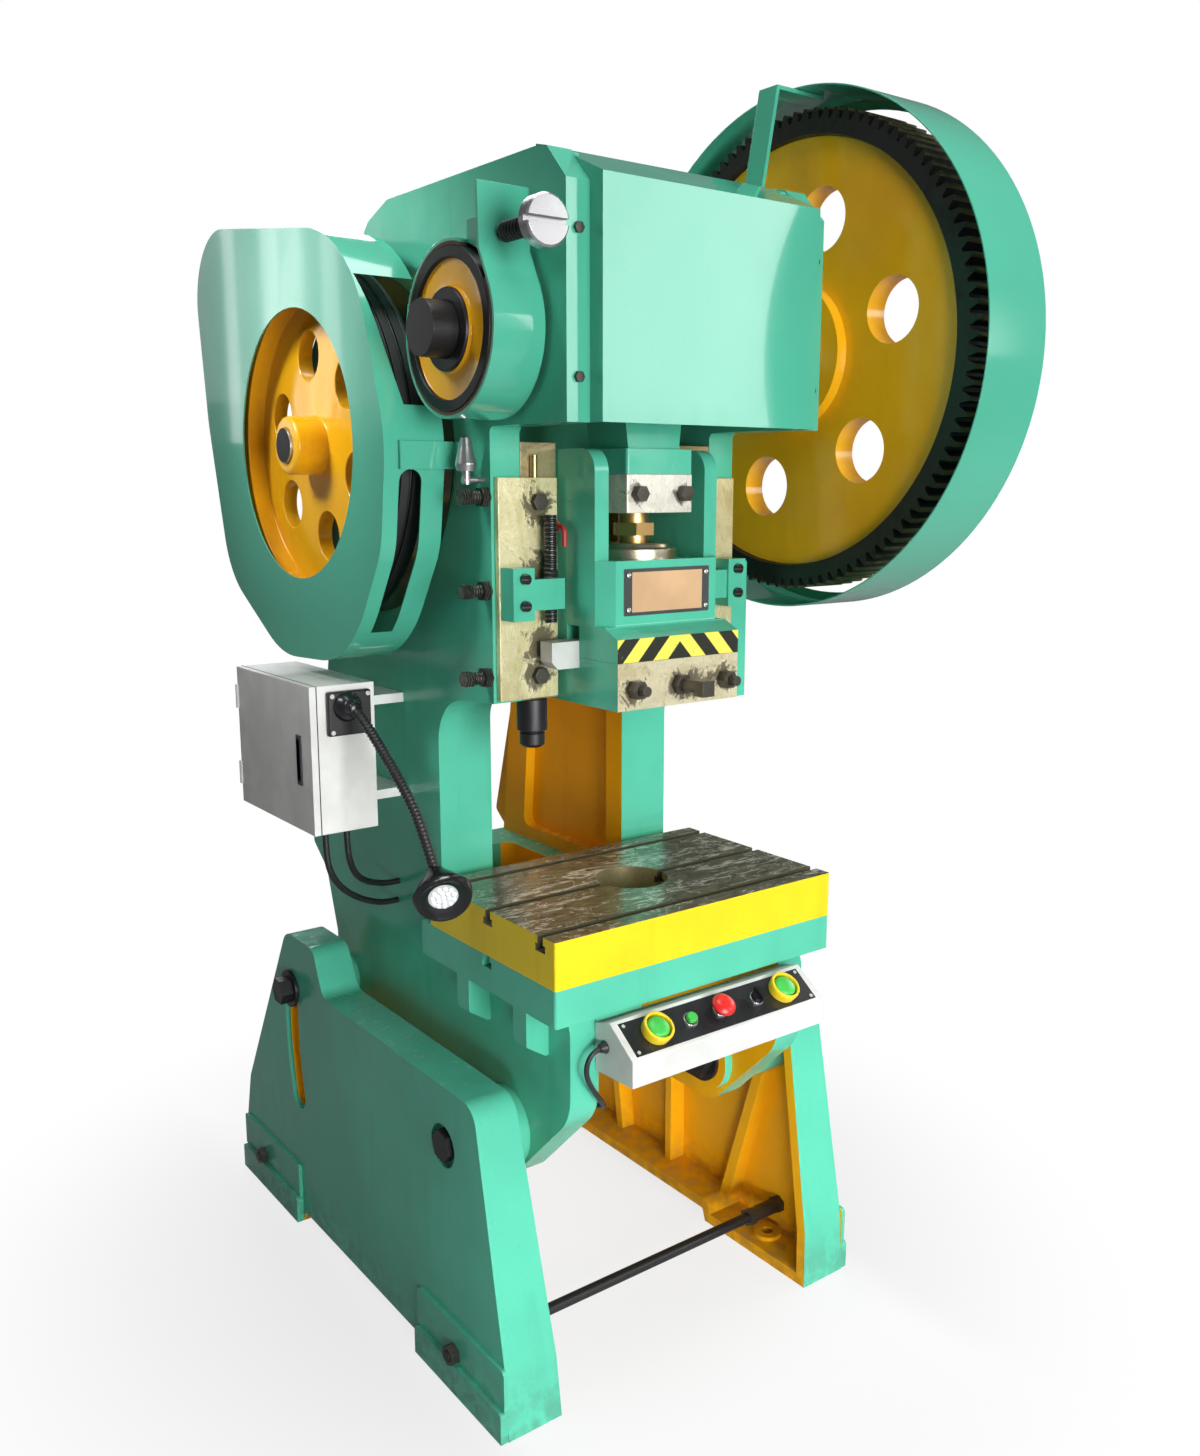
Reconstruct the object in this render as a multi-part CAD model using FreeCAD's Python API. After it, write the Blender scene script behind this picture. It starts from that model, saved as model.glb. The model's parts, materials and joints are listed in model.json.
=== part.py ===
import FreeCAD, Part
import math
import os

from FreeCAD import Vector

# Open-back inclinable mechanical press of the 63 tonne class, in millimetres.
# X runs to the operator's right, Y runs from the operator to the back, Z runs up
# from the floor.  The origin lies on the floor at the centre of the four anchor holes.
# Depths named DEPTH_* count back from the front edge of the table.

# ---------------------------------------------------------------- driving dimensions
TABLE_WIDTH = 700.0
TABLE_DEPTH = 450.0
TABLE_TOP = 965.0
BOLSTER_THICK = 92.0
BED_THICK = 72.0
TABLE_FRONT = -650.0

CRANK_Z = 2024.0
THROW = 60.0
RAM_BOTTOM = 1347.0
MODULE = 9.0
GEAR_TEETH = 105
PINION_TEETH = 17
DRIVE_DROP_DEG = 19.6

ANCHOR_X = 385.0
ANCHOR_Y = 460.0
ANCHOR_R = 14.0

LEG_OUTER = 451.0
LEG_WEB = 22.0
LEG_RIM = 24.0
PIVOT_DEPTH = 240.0
PIVOT_Z = 505.0
TILT_RADIUS = 709.0
TILT_TOP_DEG = 7.5
TILT_BOTTOM_DEG = -13.8
TILT_SLOT_R = 27.0

WALL_OUTER = 300.0
WALL_INNER = 235.0
COLUMN_INNER = 175.0
THROAT_DEPTH = 485.0
HEAD_FRONT = 29.0
HEAD_CHAMFER = ((HEAD_FRONT, 2251.0), (82.0, 2307.0), (112.0, 2315.0))

RAM_HALF = 150.0
RAM_FRONT_DEPTH = 80.0
RAM_BACK_DEPTH = 400.0
RAM_TOP = 1828.0
SHANK_R = 25.0
SHANK_DEEP = 70.0

GUARD_DEPTH_X = 475.0
DRUM_R = 138.0
SHEET = 3.0
BELT_COUNT = 3

TIE_ROD_R = 12.0
TIE_ROD_Z = 84.0
TIE_ROD_DEPTHS = (198.0, 1146.0)


def depth(value):
    """World Y of a point that lies this far behind the table's front edge."""
    return TABLE_FRONT + value


AXIS_Y = depth(TABLE_DEPTH / 2)
BED_TOP = TABLE_TOP - BOLSTER_THICK
BED_BOTTOM = BED_TOP - BED_THICK
GEAR_PITCH_R = MODULE * GEAR_TEETH / 2
PINION_PITCH_R = MODULE * PINION_TEETH / 2
DRIVE_ANGLE = -math.radians(DRIVE_DROP_DEG)
DRIVE_Y = AXIS_Y + (GEAR_PITCH_R + PINION_PITCH_R) * math.cos(DRIVE_ANGLE)
DRIVE_Z = CRANK_Z + (GEAR_PITCH_R + PINION_PITCH_R) * math.sin(DRIVE_ANGLE)
PIVOT = (depth(PIVOT_DEPTH), PIVOT_Z)
CRANK = (AXIS_Y, CRANK_Z)
PIN = (AXIS_Y, CRANK_Z + THROW)
DRIVE = (DRIVE_Y, DRIVE_Z)


# ---------------------------------------------------------------- shape helpers
def point(axis, along, u, v):
    """Point at a distance along one axis, with its two other coordinates in X, Y, Z order."""
    if axis == "x":
        return Vector(along, u, v)
    if axis == "y":
        return Vector(u, along, v)
    return Vector(u, v, along)


def direction(axis):
    return point(axis, 1, 0, 0)


def box(x0, x1, y0, y1, z0, z1):
    return Part.makeBox(x1 - x0, y1 - y0, z1 - z0, Vector(x0, y0, z0))


def rod(axis, centre, radius, start, end):
    base = point(axis, start, centre[0], centre[1])
    return Part.makeCylinder(radius, end - start, base, direction(axis))


def tube(axis, centre, outer, inner, start, end):
    return rod(axis, centre, outer, start, end).cut(rod(axis, centre, inner, start, end))


def corner(before, at, after, radius):
    """Start, middle and end of the arc that rounds one corner of an outline."""
    back = (before - at).normalize()
    ahead = (after - at).normalize()
    half = back.getAngle(ahead) / 2
    reach = radius / math.tan(half)
    middle_line = (back + ahead).normalize()
    centre = at + middle_line * (radius / math.sin(half))
    return at + back * reach, centre - middle_line * radius, at + ahead * reach


def outline(axis, along, points):
    """Closed wire through (u, v) points; a third value rounds that corner."""
    corners = [point(axis, along, p[0], p[1]) for p in points]
    edges = []
    ends = []
    for index, entry in enumerate(points):
        here = corners[index]
        if len(entry) == 2:
            ends.append((here, here))
            continue
        before = corners[index - 1]
        after = corners[(index + 1) % len(points)]
        first, middle, last = corner(before, here, after, entry[2])
        ends.append((first, last))
        edges.append(Part.Arc(first, middle, last).toShape())
    for index, (_, last) in enumerate(ends):
        first = ends[(index + 1) % len(ends)][0]
        if (first - last).Length > 1e-6:
            edges.append(Part.LineSegment(last, first).toShape())
    return Part.Wire(Part.__sortEdges__(edges))


def prism(axis, start, end, points):
    face = Part.Face(outline(axis, start, points))
    return face.extrude(direction(axis) * (end - start))


def turned(axis, centre, profile):
    """Solid of revolution; the profile holds (distance along the axis, radius) points."""
    side = {"x": Vector(0, 0, 1), "y": Vector(0, 0, 1), "z": Vector(1, 0, 0)}[axis]
    origin = point(axis, 0, centre[0], centre[1])
    points = [origin + direction(axis) * a + side * r for a, r in profile]
    wire = Part.makePolygon(points + points[:1])
    return Part.Face(wire).revolve(origin, direction(axis), 360)


def hexagon(axis, centre, across, start, end, turn=0.0):
    radius = across / math.sqrt(3)
    points = []
    for index in range(6):
        angle = math.radians(60 * index + turn)
        points.append((centre[0] + radius * math.cos(angle), centre[1] + radius * math.sin(angle)))
    return prism(axis, start, end, points)


def sector(axis, centre, inner, outer, first_deg, last_deg, start, end):
    """Part of a ring between two angles, drawn with arcs."""
    def at(radius, degrees):
        angle = math.radians(degrees)
        return point(axis, start, centre[0] + radius * math.cos(angle), centre[1] + radius * math.sin(angle))

    middle = (first_deg + last_deg) / 2
    edges = [
        Part.Arc(at(outer, first_deg), at(outer, middle), at(outer, last_deg)).toShape(),
        Part.LineSegment(at(outer, last_deg), at(inner, last_deg)).toShape(),
        Part.Arc(at(inner, last_deg), at(inner, middle), at(inner, first_deg)).toShape(),
        Part.LineSegment(at(inner, first_deg), at(outer, first_deg)).toShape(),
    ]
    return Part.Face(Part.Wire(edges)).extrude(direction(axis) * (end - start))


def fused(shapes):
    return shapes[0].multiFuse(shapes[1:]).removeSplitter()


def mirrored(shape):
    return shape.mirror(Vector(0, 0, 0), Vector(1, 0, 0))


def both_sides(shape):
    return [shape, mirrored(shape)]


def group(shapes):
    return Part.makeCompound(shapes)


# ---------------------------------------------------------------- bent tubes
def biarc(start, start_way, end, end_way):
    """Two tangent arcs that join two points with given directions."""
    gap = end - start
    ways = start_way + end_way
    turn = 2 * (1 - start_way.dot(end_way))
    along = gap.dot(ways)
    reach = (math.sqrt(along * along + turn * gap.dot(gap)) - along) / turn
    middle = (start + end + (start_way - end_way) * reach) * 0.5
    return arc_from(start, start_way, middle), arc_from(end, end_way * -1, middle)


def arc_from(start, way, end):
    """Arc that leaves its start in a given direction and passes through its end."""
    chord = end - start
    flat = Vector(chord).normalize()
    angle = way.getAngle(flat)
    side = (way - flat * way.dot(flat)).normalize()
    middle = start + chord * 0.5 + side * (chord.Length / 2 * math.tan(angle / 2))
    return Part.Arc(start, middle, end).toShape()


def swept(edges, start, way, radius):
    wire = Part.Wire(Part.__sortEdges__(edges))
    section = Part.Wire(Part.makeCircle(radius, start, way))
    return wire.makePipeShell([section], True, False)


def cord(name, points, radius):
    """Round cord along straight runs joined by the largest arcs that its runs allow."""
    nodes = [Vector(*p) for p in points]
    edges = []
    radii = []
    at = nodes[0]
    for before, here, after in zip(nodes, nodes[1:], nodes[2:]):
        half_turn = (here - before).getAngle(after - here) / 2
        bend = 0.45 * min((here - before).Length, (after - here).Length) / math.tan(half_turn)
        first, middle, last = corner(before, here, after, bend)
        edges.append(Part.LineSegment(at, first).toShape())
        edges.append(Part.Arc(first, middle, last).toShape())
        radii.append(round(bend))
        at = last
    edges.append(Part.LineSegment(at, nodes[-1]).toShape())
    solid = swept(edges, nodes[0], nodes[1] - nodes[0], radius)
    length = sum(edge.Length for edge in edges)
    share = solid.Volume / (math.pi * radius * radius * length)
    print(name, "bend radii", radii, "length", round(length), "volume share", round(share, 3))
    return solid


# ---------------------------------------------------------------- legs and tie rods
LEG_INNER_TOP = 366.0
LEG_INNER_FLOOR = 330.0
LEG_TOP = 630.0
EAR_TOP = 731.0
FOOT_SPANS = ((18.0, 348.0), (935.0, 1272.0))
FOOT_STEPS = ((16.5, 0.0, 63.0), (8.0, 63.0, 147.0))


def leg_outline():
    arch = 28.0
    front_foot, back_foot = FOOT_SPANS
    points = [
        (front_foot[0] - 2, 0), (24, 126), (122, LEG_TOP, 45), (772, LEG_TOP, 30),
        (815, EAR_TOP, 35), (966, EAR_TOP, 50), (1240, 262, 60), (1280, 115), (1274, 0),
        (back_foot[0], 0), (back_foot[0] - 12, arch, 8), (front_foot[1] + 12, arch, 8),
        (front_foot[1], 0),
    ]
    return [(depth(p[0]),) + tuple(p[1:]) for p in points]


def tilt_slot(radius, start, end):
    """Curved slot about the pivot, with round ends, through which the tilt bolt moves."""
    pieces = [sector("x", PIVOT, TILT_RADIUS - radius, TILT_RADIUS + radius,
                     TILT_BOTTOM_DEG, TILT_TOP_DEG, start, end)]
    for degrees in (TILT_BOTTOM_DEG, TILT_TOP_DEG):
        pieces.append(rod("x", on_tilt_arc(degrees), radius, start, end))
    return fused(pieces)


def on_tilt_arc(degrees):
    angle = math.radians(degrees)
    return PIVOT[0] + TILT_RADIUS * math.cos(angle), PIVOT[1] + TILT_RADIUS * math.sin(angle)


def leg_ribs():
    """Three stiffening ribs on the inner side of the web."""
    web = -LEG_OUTER + LEG_WEB
    ribs = [
        [(546, 20), (568, 20), (568, 615), (546, 615)],
        [(341, 20), (371, 20), (249, 420), (222, 420)],
        [(746, 20), (770, 20), (864, 660), (840, 660)],
    ]
    reaches = (44.0, 40.0, 40.0)
    shapes = []
    for rib, reach in zip(ribs, reaches):
        shapes.append(prism("x", web, web + reach, [(depth(y), z) for y, z in rib]))
    return shapes


def leg():
    """Cast side leg: web, inward rim, ribs, pivot boss, stepped foot pads."""
    points = leg_outline()
    body = prism("x", -LEG_OUTER, -LEG_INNER_FLOOR, points)
    taper = prism("y", depth(-20), depth(1320), [
        (-LEG_OUTER, 0), (-LEG_INNER_FLOOR, 0), (-LEG_INNER_TOP, EAR_TOP), (-LEG_OUTER, EAR_TOP)])
    body = body.common(taper)
    inside = Part.Face(outline("x", -LEG_OUTER + LEG_WEB, points)).makeOffset2D(-LEG_RIM)
    body = body.cut(inside.extrude(Vector(LEG_OUTER - LEG_WEB, 0, 0)))
    boss = rod("x", PIVOT, 80, -LEG_OUTER + LEG_WEB, -WALL_OUTER - 0.5)
    anchor_pads = [rod("z", (-ANCHOR_X, side * ANCHOR_Y), 32, 0, 34) for side in (-1, 1)]
    slot_rim = tilt_slot(TILT_SLOT_R + 20, -LEG_OUTER + LEG_WEB, -LEG_INNER_TOP - 4)
    body = fused([body, boss, slot_rim] + leg_ribs() + anchor_pads)
    for reach, low, high in FOOT_STEPS:
        for front, back in FOOT_SPANS:
            pad = [(depth(front), low), (depth(back), low), (depth(back), high, 10), (depth(front), high, 10)]
            body = body.fuse(prism("x", -LEG_OUTER - reach, -LEG_OUTER + 1, pad))
    body = body.cut(rod("x", PIVOT, 44, -LEG_OUTER, -LEG_OUTER + 12))
    body = body.cut(rod("x", PIVOT, 30, -LEG_OUTER, -WALL_OUTER))
    body = body.cut(tilt_slot(TILT_SLOT_R, -LEG_OUTER - 1, -LEG_INNER_TOP))
    body = body.cut(tilt_slot(TILT_SLOT_R + 9, -LEG_OUTER - 1, -LEG_OUTER + 8))
    for side in (-1, 1):
        body = body.cut(rod("z", (-ANCHOR_X, side * ANCHOR_Y), ANCHOR_R, 0, 60))
    for rod_depth in TIE_ROD_DEPTHS:
        body = body.cut(rod("x", (depth(rod_depth), TIE_ROD_Z), TIE_ROD_R + 0.5, -LEG_OUTER - 9, -400))
    return body.removeSplitter()


def tie_rods():
    """Two steel rods that hold the feet of the legs together."""
    return group([rod("x", (depth(d), TIE_ROD_Z), TIE_ROD_R, -LEG_OUTER - 28, LEG_OUTER + 28)
                  for d in TIE_ROD_DEPTHS])


def tie_rod_nuts():
    """Outside nut on each leg; inside it a nut, a long spacer sleeve and a closing nut."""
    shapes = []
    web = LEG_OUTER - LEG_WEB
    for rod_depth in TIE_ROD_DEPTHS:
        centre = (depth(rod_depth), TIE_ROD_Z)
        bore = rod("x", centre, TIE_ROD_R, -LEG_OUTER - 40, 0)
        outer = hexagon("x", centre, 36, -LEG_OUTER - 26, -LEG_OUTER - 8, 30)
        inner = fused([
            hexagon("x", centre, 36, -web, -web + 16, 30), rod("x", centre, 17, -web + 15, -web + 88),
            hexagon("x", centre, 36, -web + 87, -web + 105, 30)])
        for nut in (outer, inner):
            shapes.extend(both_sides(nut.cut(bore)))
    return group(shapes)


PIVOT_BOSS_IN = 215.0


def pivot_bolts():
    """Large bolt on each side about which the frame tilts, with a washer and nut inside."""
    shank = rod("x", PIVOT, 29.95, -LEG_OUTER + 12, -PIVOT_BOSS_IN + 10)
    head = hexagon("x", PIVOT, 58, -LEG_OUTER - 6, -LEG_OUTER + 12, 12)
    washer = rod("x", PIVOT, 56, -PIVOT_BOSS_IN + 0.2, -PIVOT_BOSS_IN + 8)
    nut = hexagon("x", PIVOT, 78, -PIVOT_BOSS_IN + 8, -PIVOT_BOSS_IN + 30)
    return group(both_sides(fused([head, shank, washer, nut])))


def tilt_bolts():
    """Clamp bolt on each side, at the upper end of the curved slot."""
    centre = on_tilt_arc(TILT_TOP_DEG)
    shank = rod("x", centre, 19.9, -LEG_OUTER - 20, -WALL_INNER - 20)
    washer = rod("x", centre, 44, -LEG_OUTER - 9.5, -LEG_OUTER - 1.5)
    nut = hexagon("x", centre, 56, -LEG_OUTER - 36, -LEG_OUTER - 9.5)
    return group(both_sides(fused([shank, washer, nut])))


# ---------------------------------------------------------------- frame
def wall_outline():
    """Side wall seen from the left: head, throat, bed line, front lobe and rear ear."""
    ear = on_tilt_arc(TILT_TOP_DEG)
    ear_back = ear[0] - TABLE_FRONT + 62
    points = [
        (60, BED_TOP), (25, 770, 60), (25, 600, 110), (225, 396, 60), (430, 396, 60),
        (860, ear[1] - 62, 40),
        (ear_back, ear[1] - 62, 60), (ear_back, 690), (1053, 836, 20), (1124, 892, 15),
        (1010, 1300, 200), (905, 1800, 200), (830, 2190, 60), (724, 2290, 30), (640, 2318, 20),
        *reversed(HEAD_CHAMFER), (HEAD_FRONT, 1866), (270, 1866, 12), (270, 1352),
        (THROAT_DEPTH, 1335, 100), (THROAT_DEPTH, BED_TOP),
    ]
    return [(depth(p[0]),) + tuple(p[1:]) for p in points]


def at_depth(points):
    return [(depth(p[0]),) + tuple(p[1:]) for p in points]


def wall():
    """Left wall with its column, the channel in it, bearing boss, pivot boss and tilt boss."""
    body = prism("x", -WALL_OUTER, -WALL_INNER, wall_outline())
    column = prism("x", -WALL_INNER - 1, -COLUMN_INNER, at_depth([
        (THROAT_DEPTH, BED_BOTTOM), (THROAT_DEPTH, 1335, 60), (422, 1342), (422, 1375),
        (930, 1375), (1000, BED_BOTTOM)]))
    channel = prism("x", -COLUMN_INNER - 26, -COLUMN_INNER + 1, at_depth([
        (545, 905, 25), (895, 905, 25), (860, 1300, 25), (545, 1300, 25)]))
    boss = rod("x", CRANK, 115, -WALL_INNER - 1, -168)
    pivot_boss = rod("x", PIVOT, 78, -WALL_INNER - 1, -PIVOT_BOSS_IN)
    tilt_boss = rod("x", on_tilt_arc(TILT_TOP_DEG), 50, -WALL_OUTER - 40, -WALL_OUTER)
    return fused([body, column, boss, pivot_boss, tilt_boss]).cut(channel)


def bed():
    """Table bed under the bolster: side flanges with a T-slot, and gussets below them."""
    half = TABLE_WIDTH / 2
    plate = prism("z", BED_BOTTOM, BED_TOP, [
        (-half, depth(0), 6), (half, depth(0), 6), (half, depth(THROAT_DEPTH)), (-half, depth(THROAT_DEPTH))])
    back = box(-WALL_INNER - 1, WALL_INNER + 1, depth(THROAT_DEPTH - 1), depth(1000), BED_BOTTOM, BED_TOP)
    pieces = [plate, back]
    for front in (95, 300):
        gusset = prism("y", depth(front), depth(front + 45), [
            (-half, BED_BOTTOM), (-half, BED_BOTTOM - 68), (-WALL_OUTER - 8, BED_BOTTOM - 96),
            (-WALL_OUTER, BED_BOTTOM - 96), (-WALL_OUTER, BED_BOTTOM)])
        pieces.extend(both_sides(gusset))
    return pieces


def frame_casting():
    """One-piece cast frame with two side walls, bed, head and cross walls."""
    left = wall()
    inner = WALL_INNER + 1
    roof = box(-inner, inner, depth(422), depth(640), 1345, 1375)
    back_wall = box(-inner, inner, depth(612), depth(640), 1345, 2300)
    top = box(-inner, inner, depth(112), depth(640), 2290, 2315)
    front_tie = box(-inner, inner, depth(480), depth(508), 440, BED_BOTTOM + 1)
    rear_tie = box(-inner, inner, depth(930), depth(960), 640, BED_BOTTOM + 1)
    gear_side_flange = prism("z", 1306, 1600, [
        (WALL_OUTER - 1, depth(270)), (352, depth(270), 5), (352, depth(300), 5), (WALL_OUTER - 1, depth(300))])
    body = fused([left, mirrored(left), roof, back_wall, top, front_tie, rear_tie, gear_side_flange] + bed())
    cuts = [
        rod("z", (0, AXIS_Y), 100, BED_BOTTOM - 80, BED_TOP + 1),
        prism("z", BED_BOTTOM - 1, BED_TOP + 1, [
            (-120, depth(600), 30), (120, depth(600), 30), (120, depth(880), 30), (-120, depth(880), 30)]),
        rod("x", CRANK, 80, -WALL_OUTER - 1, WALL_OUTER + 1),
        rod("x", DRIVE, 60, -WALL_OUTER - 1, WALL_OUTER + 1),
        rod("x", PIVOT, 30, -WALL_OUTER - 1, WALL_OUTER + 1),
        rod("x", on_tilt_arc(TILT_TOP_DEG), 20, -WALL_OUTER - 41, -WALL_INNER - 20),
        rod("x", on_tilt_arc(TILT_TOP_DEG), 20, WALL_INNER + 20, WALL_OUTER + 41),
        rod_window(),
    ]
    for x in (-TABLE_WIDTH / 2, WALL_OUTER):
        cuts.append(prism("x", x - 1, x + 51, t_slot(depth(230), BED_TOP, 11)))
    for z in GIB_SCREW_Z:
        cuts.append(rod("x", (GIB_SCREW_Y, z), 12.1, -WALL_OUTER - 1, -WALL_INNER + 1))
    return body.cut(group(cuts)).removeSplitter()


def rod_window():
    """Window in the head's back wall for reaching the connecting rod."""
    return prism("y", depth(600), depth(660), [
        (-130, 1500, 40), (130, 1500, 40), (130, 1750, 40), (-130, 1750, 40)])


def bolster_plate():
    """Loose table plate with three cross T-slots and the drop hole."""
    half = TABLE_WIDTH / 2
    plate = prism("z", BED_TOP, TABLE_TOP, [
        (-half, depth(0), 4), (half, depth(0), 4), (half, depth(TABLE_DEPTH), 4), (-half, depth(TABLE_DEPTH), 4)])
    plate = plate.cut(rod("z", (0, AXIS_Y), 75, BED_TOP, TABLE_TOP))
    for slot_depth in (47, 225, 403):
        plate = plate.cut(prism("x", -half - 1, half + 1, t_slot(depth(slot_depth), TABLE_TOP, 16)))
    return plate


def t_slot(centre, top, step):
    neck, head, high = 9.0, 16.0, 14.0
    return [
        (centre - neck, top + 1), (centre - neck, top - step), (centre - head, top - step),
        (centre - head, top - step - high), (centre + head, top - step - high),
        (centre + head, top - step), (centre + neck, top - step), (centre + neck, top + 1)]


# ---------------------------------------------------------------- crank train
BUSH_R = 80.0
JOURNAL_R = 65.0
PIN_R = 80.0
WEB_IN = 105.0
WEB_OUT = 150.0
GEAR_SEAT_R = 60.0
GEAR_FACE = 412.0
GEAR_WIDTH = 110.0
STUB_R = 48.0


def crank_bushes():
    """Flanged bronze bush in each side wall."""
    bush = turned("x", CRANK, [
        (-WALL_OUTER, JOURNAL_R + 0.05), (-WALL_OUTER, BUSH_R), (-168, BUSH_R), (-168, 96),
        (-158, 96), (-158, JOURNAL_R + 0.05)])
    return group(both_sides(bush))


def crankshaft():
    """Forged crank: brake stub, two journals, two webs, the pin and the gear seat."""
    left = rod("x", CRANK, JOURNAL_R, -304, -WEB_OUT + 1)
    right = rod("x", CRANK, JOURNAL_R, WEB_OUT - 1, 340)
    stub = rod("x", CRANK, STUB_R, -465, -303)
    seat = rod("x", CRANK, GEAR_SEAT_R, 338, 546)
    plate = rod("x", CRANK, 96, 532, 544)
    pin = rod("x", PIN, PIN_R, -WEB_IN - 1, WEB_IN + 1)
    webs = both_sides(crank_web())
    return fused([left, right, stub, seat, plate, pin] + webs)


def crank_web():
    half = 95.0
    low, high = CRANK_Z - half, PIN[1] + half
    return prism("x", -WEB_OUT, -WEB_IN, [
        (AXIS_Y - half, low, 60), (AXIS_Y + half, low, 60), (AXIS_Y + half, high, 85),
        (AXIS_Y - half, high, 85)])


def lightened_gear(teeth, bore, phase):
    """Spur gear rim with involute teeth, recessed web, hub and round lightening holes."""
    wheel = Part.Face(Part.makePolygon(gear_points(teeth, phase, GEAR_FACE)))
    wheel = wheel.extrude(Vector(GEAR_WIDTH, 0, 0))
    recess = turned("x", CRANK, [
        (GEAR_FACE - 1, 147), (GEAR_FACE - 1, 433), (GEAR_FACE + 14, 430), (GEAR_FACE + 14, 150)])
    back_recess = turned("x", CRANK, [
        (GEAR_FACE + GEAR_WIDTH + 1, 147), (GEAR_FACE + GEAR_WIDTH + 1, 433),
        (GEAR_FACE + GEAR_WIDTH - 46, 428), (GEAR_FACE + GEAR_WIDTH - 46, 152)])
    wheel = wheel.cut(recess).cut(back_recess)
    hub = rod("x", CRANK, 147, GEAR_FACE - 8, GEAR_FACE + GEAR_WIDTH + 8)
    wheel = wheel.fuse(hub)
    holes = [rod("x", CRANK, bore, GEAR_FACE - 20, GEAR_FACE + GEAR_WIDTH + 20)]
    for index in range(6):
        angle = math.radians(45 + 60 * index)
        centre = (CRANK[0] + 275 * math.cos(angle), CRANK[1] + 275 * math.sin(angle))
        holes.append(rod("x", centre, 64, GEAR_FACE - 1, GEAR_FACE + GEAR_WIDTH + 1))
    return wheel.cut(group(holes)).removeSplitter()


def involute(angle):
    return math.tan(angle) - angle


def tooth_flank(teeth):
    """Pairs of radius and half tooth angle from root to tip on the involute flank."""
    pressure = math.radians(20)
    thinning = 0.35
    pitch = MODULE * teeth / 2
    base = pitch * math.cos(pressure)
    root = pitch - 1.25 * MODULE
    tip = pitch + MODULE
    half = (math.pi * MODULE / 2 - thinning) / (2 * pitch)
    lowest = max(base, root)
    flank = []
    if root < base:
        flank.append((root, half + involute(pressure)))
    for radius in (lowest, (lowest + pitch) / 2, (pitch + tip) / 2, tip):
        here = math.acos(min(1.0, base / radius))
        flank.append((radius, half + involute(pressure) - involute(here)))
    return flank


def gear_points(teeth, phase, x, centre=CRANK):
    flank = tooth_flank(teeth)
    points = []
    for index in range(teeth):
        middle = phase + 2 * math.pi * index / teeth
        for radius, half in flank:
            points.append(on_circle(x, centre, radius, middle - half))
        for radius, half in reversed(flank):
            points.append(on_circle(x, centre, radius, middle + half))
    return points + points[:1]


def on_circle(x, centre, radius, angle):
    return Vector(x, centre[0] + radius * math.cos(angle), centre[1] + radius * math.sin(angle))


def bull_gear():
    return lightened_gear(GEAR_TEETH, 75, DRIVE_ANGLE)


def gear_bush():
    """Bronze sleeve on which the gear idles while the clutch is out."""
    return tube("x", CRANK, 75, GEAR_SEAT_R + 0.05, GEAR_FACE - 8, GEAR_FACE + GEAR_WIDTH + 8)


def pinion():
    """Small gear with a hub; a space faces the tooth of the large gear."""
    phase = DRIVE_ANGLE + math.pi + math.pi / PINION_TEETH
    face = GEAR_FACE - 2
    wheel = Part.Face(Part.makePolygon(gear_points(PINION_TEETH, phase, face, DRIVE)))
    wheel = wheel.extrude(Vector(GEAR_WIDTH + 4, 0, 0))
    wheel = wheel.fuse(rod("x", DRIVE, 55, face - 30, face + 1))
    return wheel.cut(rod("x", DRIVE, 35, face - 40, face + GEAR_WIDTH + 10)).removeSplitter()


def drive_shaft():
    shaft = rod("x", DRIVE, 35, -498, 536)
    collar = rod("x", DRIVE, 48, -WALL_INNER + 6, WALL_INNER - 6)
    return shaft.fuse(collar).removeSplitter()


def drive_bearings():
    """Flanged bearing housing in each side wall."""
    housing = turned("x", DRIVE, [
        (-WALL_INNER, 35.05), (-WALL_INNER, 60), (-WALL_OUTER, 60), (-WALL_OUTER, 95),
        (-WALL_OUTER - 18, 95), (-WALL_OUTER - 18, 70), (-WALL_OUTER - 40, 62), (-WALL_OUTER - 40, 35.05)])
    return group(both_sides(housing))


FLYWHEEL_R = 358.0
FLYWHEEL_X = (-455.0, -365.0)
BELT_PITCH = 24.0
BELT_TOP = 17.0
BELT_FOOT = 11.0
BELT_HIGH = 11.0
MOTOR = (depth(1130), 2224.0)
PULLEY_R = 72.0


def grooved_rim(x_range, outer, inner):
    """Profile of a rim with V-grooves, from its outer left corner round to the inner side."""
    clear = 0.6
    middle = (x_range[0] + x_range[1]) / 2
    first = middle - BELT_PITCH * (BELT_COUNT - 1) / 2
    profile = [(x_range[0], inner), (x_range[0], outer)]
    for index in range(BELT_COUNT):
        x = first + BELT_PITCH * index
        profile += [
            (x - BELT_TOP / 2 - clear, outer), (x - BELT_FOOT / 2 - clear, outer - BELT_HIGH - clear),
            (x + BELT_FOOT / 2 + clear, outer - BELT_HIGH - clear), (x + BELT_TOP / 2 + clear, outer)]
    return profile + [(x_range[1], outer), (x_range[1], inner)]


def flywheel():
    """Belt-driven flywheel: grooved rim, web with six round holes and a long hub."""
    rim = turned("x", DRIVE, grooved_rim(FLYWHEEL_X, FLYWHEEL_R, 290))
    web = turned("x", DRIVE, [
        (-425, 58), (-418, 290), (-388, 290), (-388, 58)])
    hub = turned("x", DRIVE, [
        (-492, 35), (-492, 52), (-488, 58), (-352, 62), (-352, 35)])
    body = fused([rim, web, hub])
    holes = []
    for index in range(6):
        angle = math.radians(20 + 60 * index)
        centre = (DRIVE[0] + 185 * math.cos(angle), DRIVE[1] + 185 * math.sin(angle))
        holes.append(rod("x", centre, 50, -440, -380))
    return body.cut(group(holes)).removeSplitter()


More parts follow.
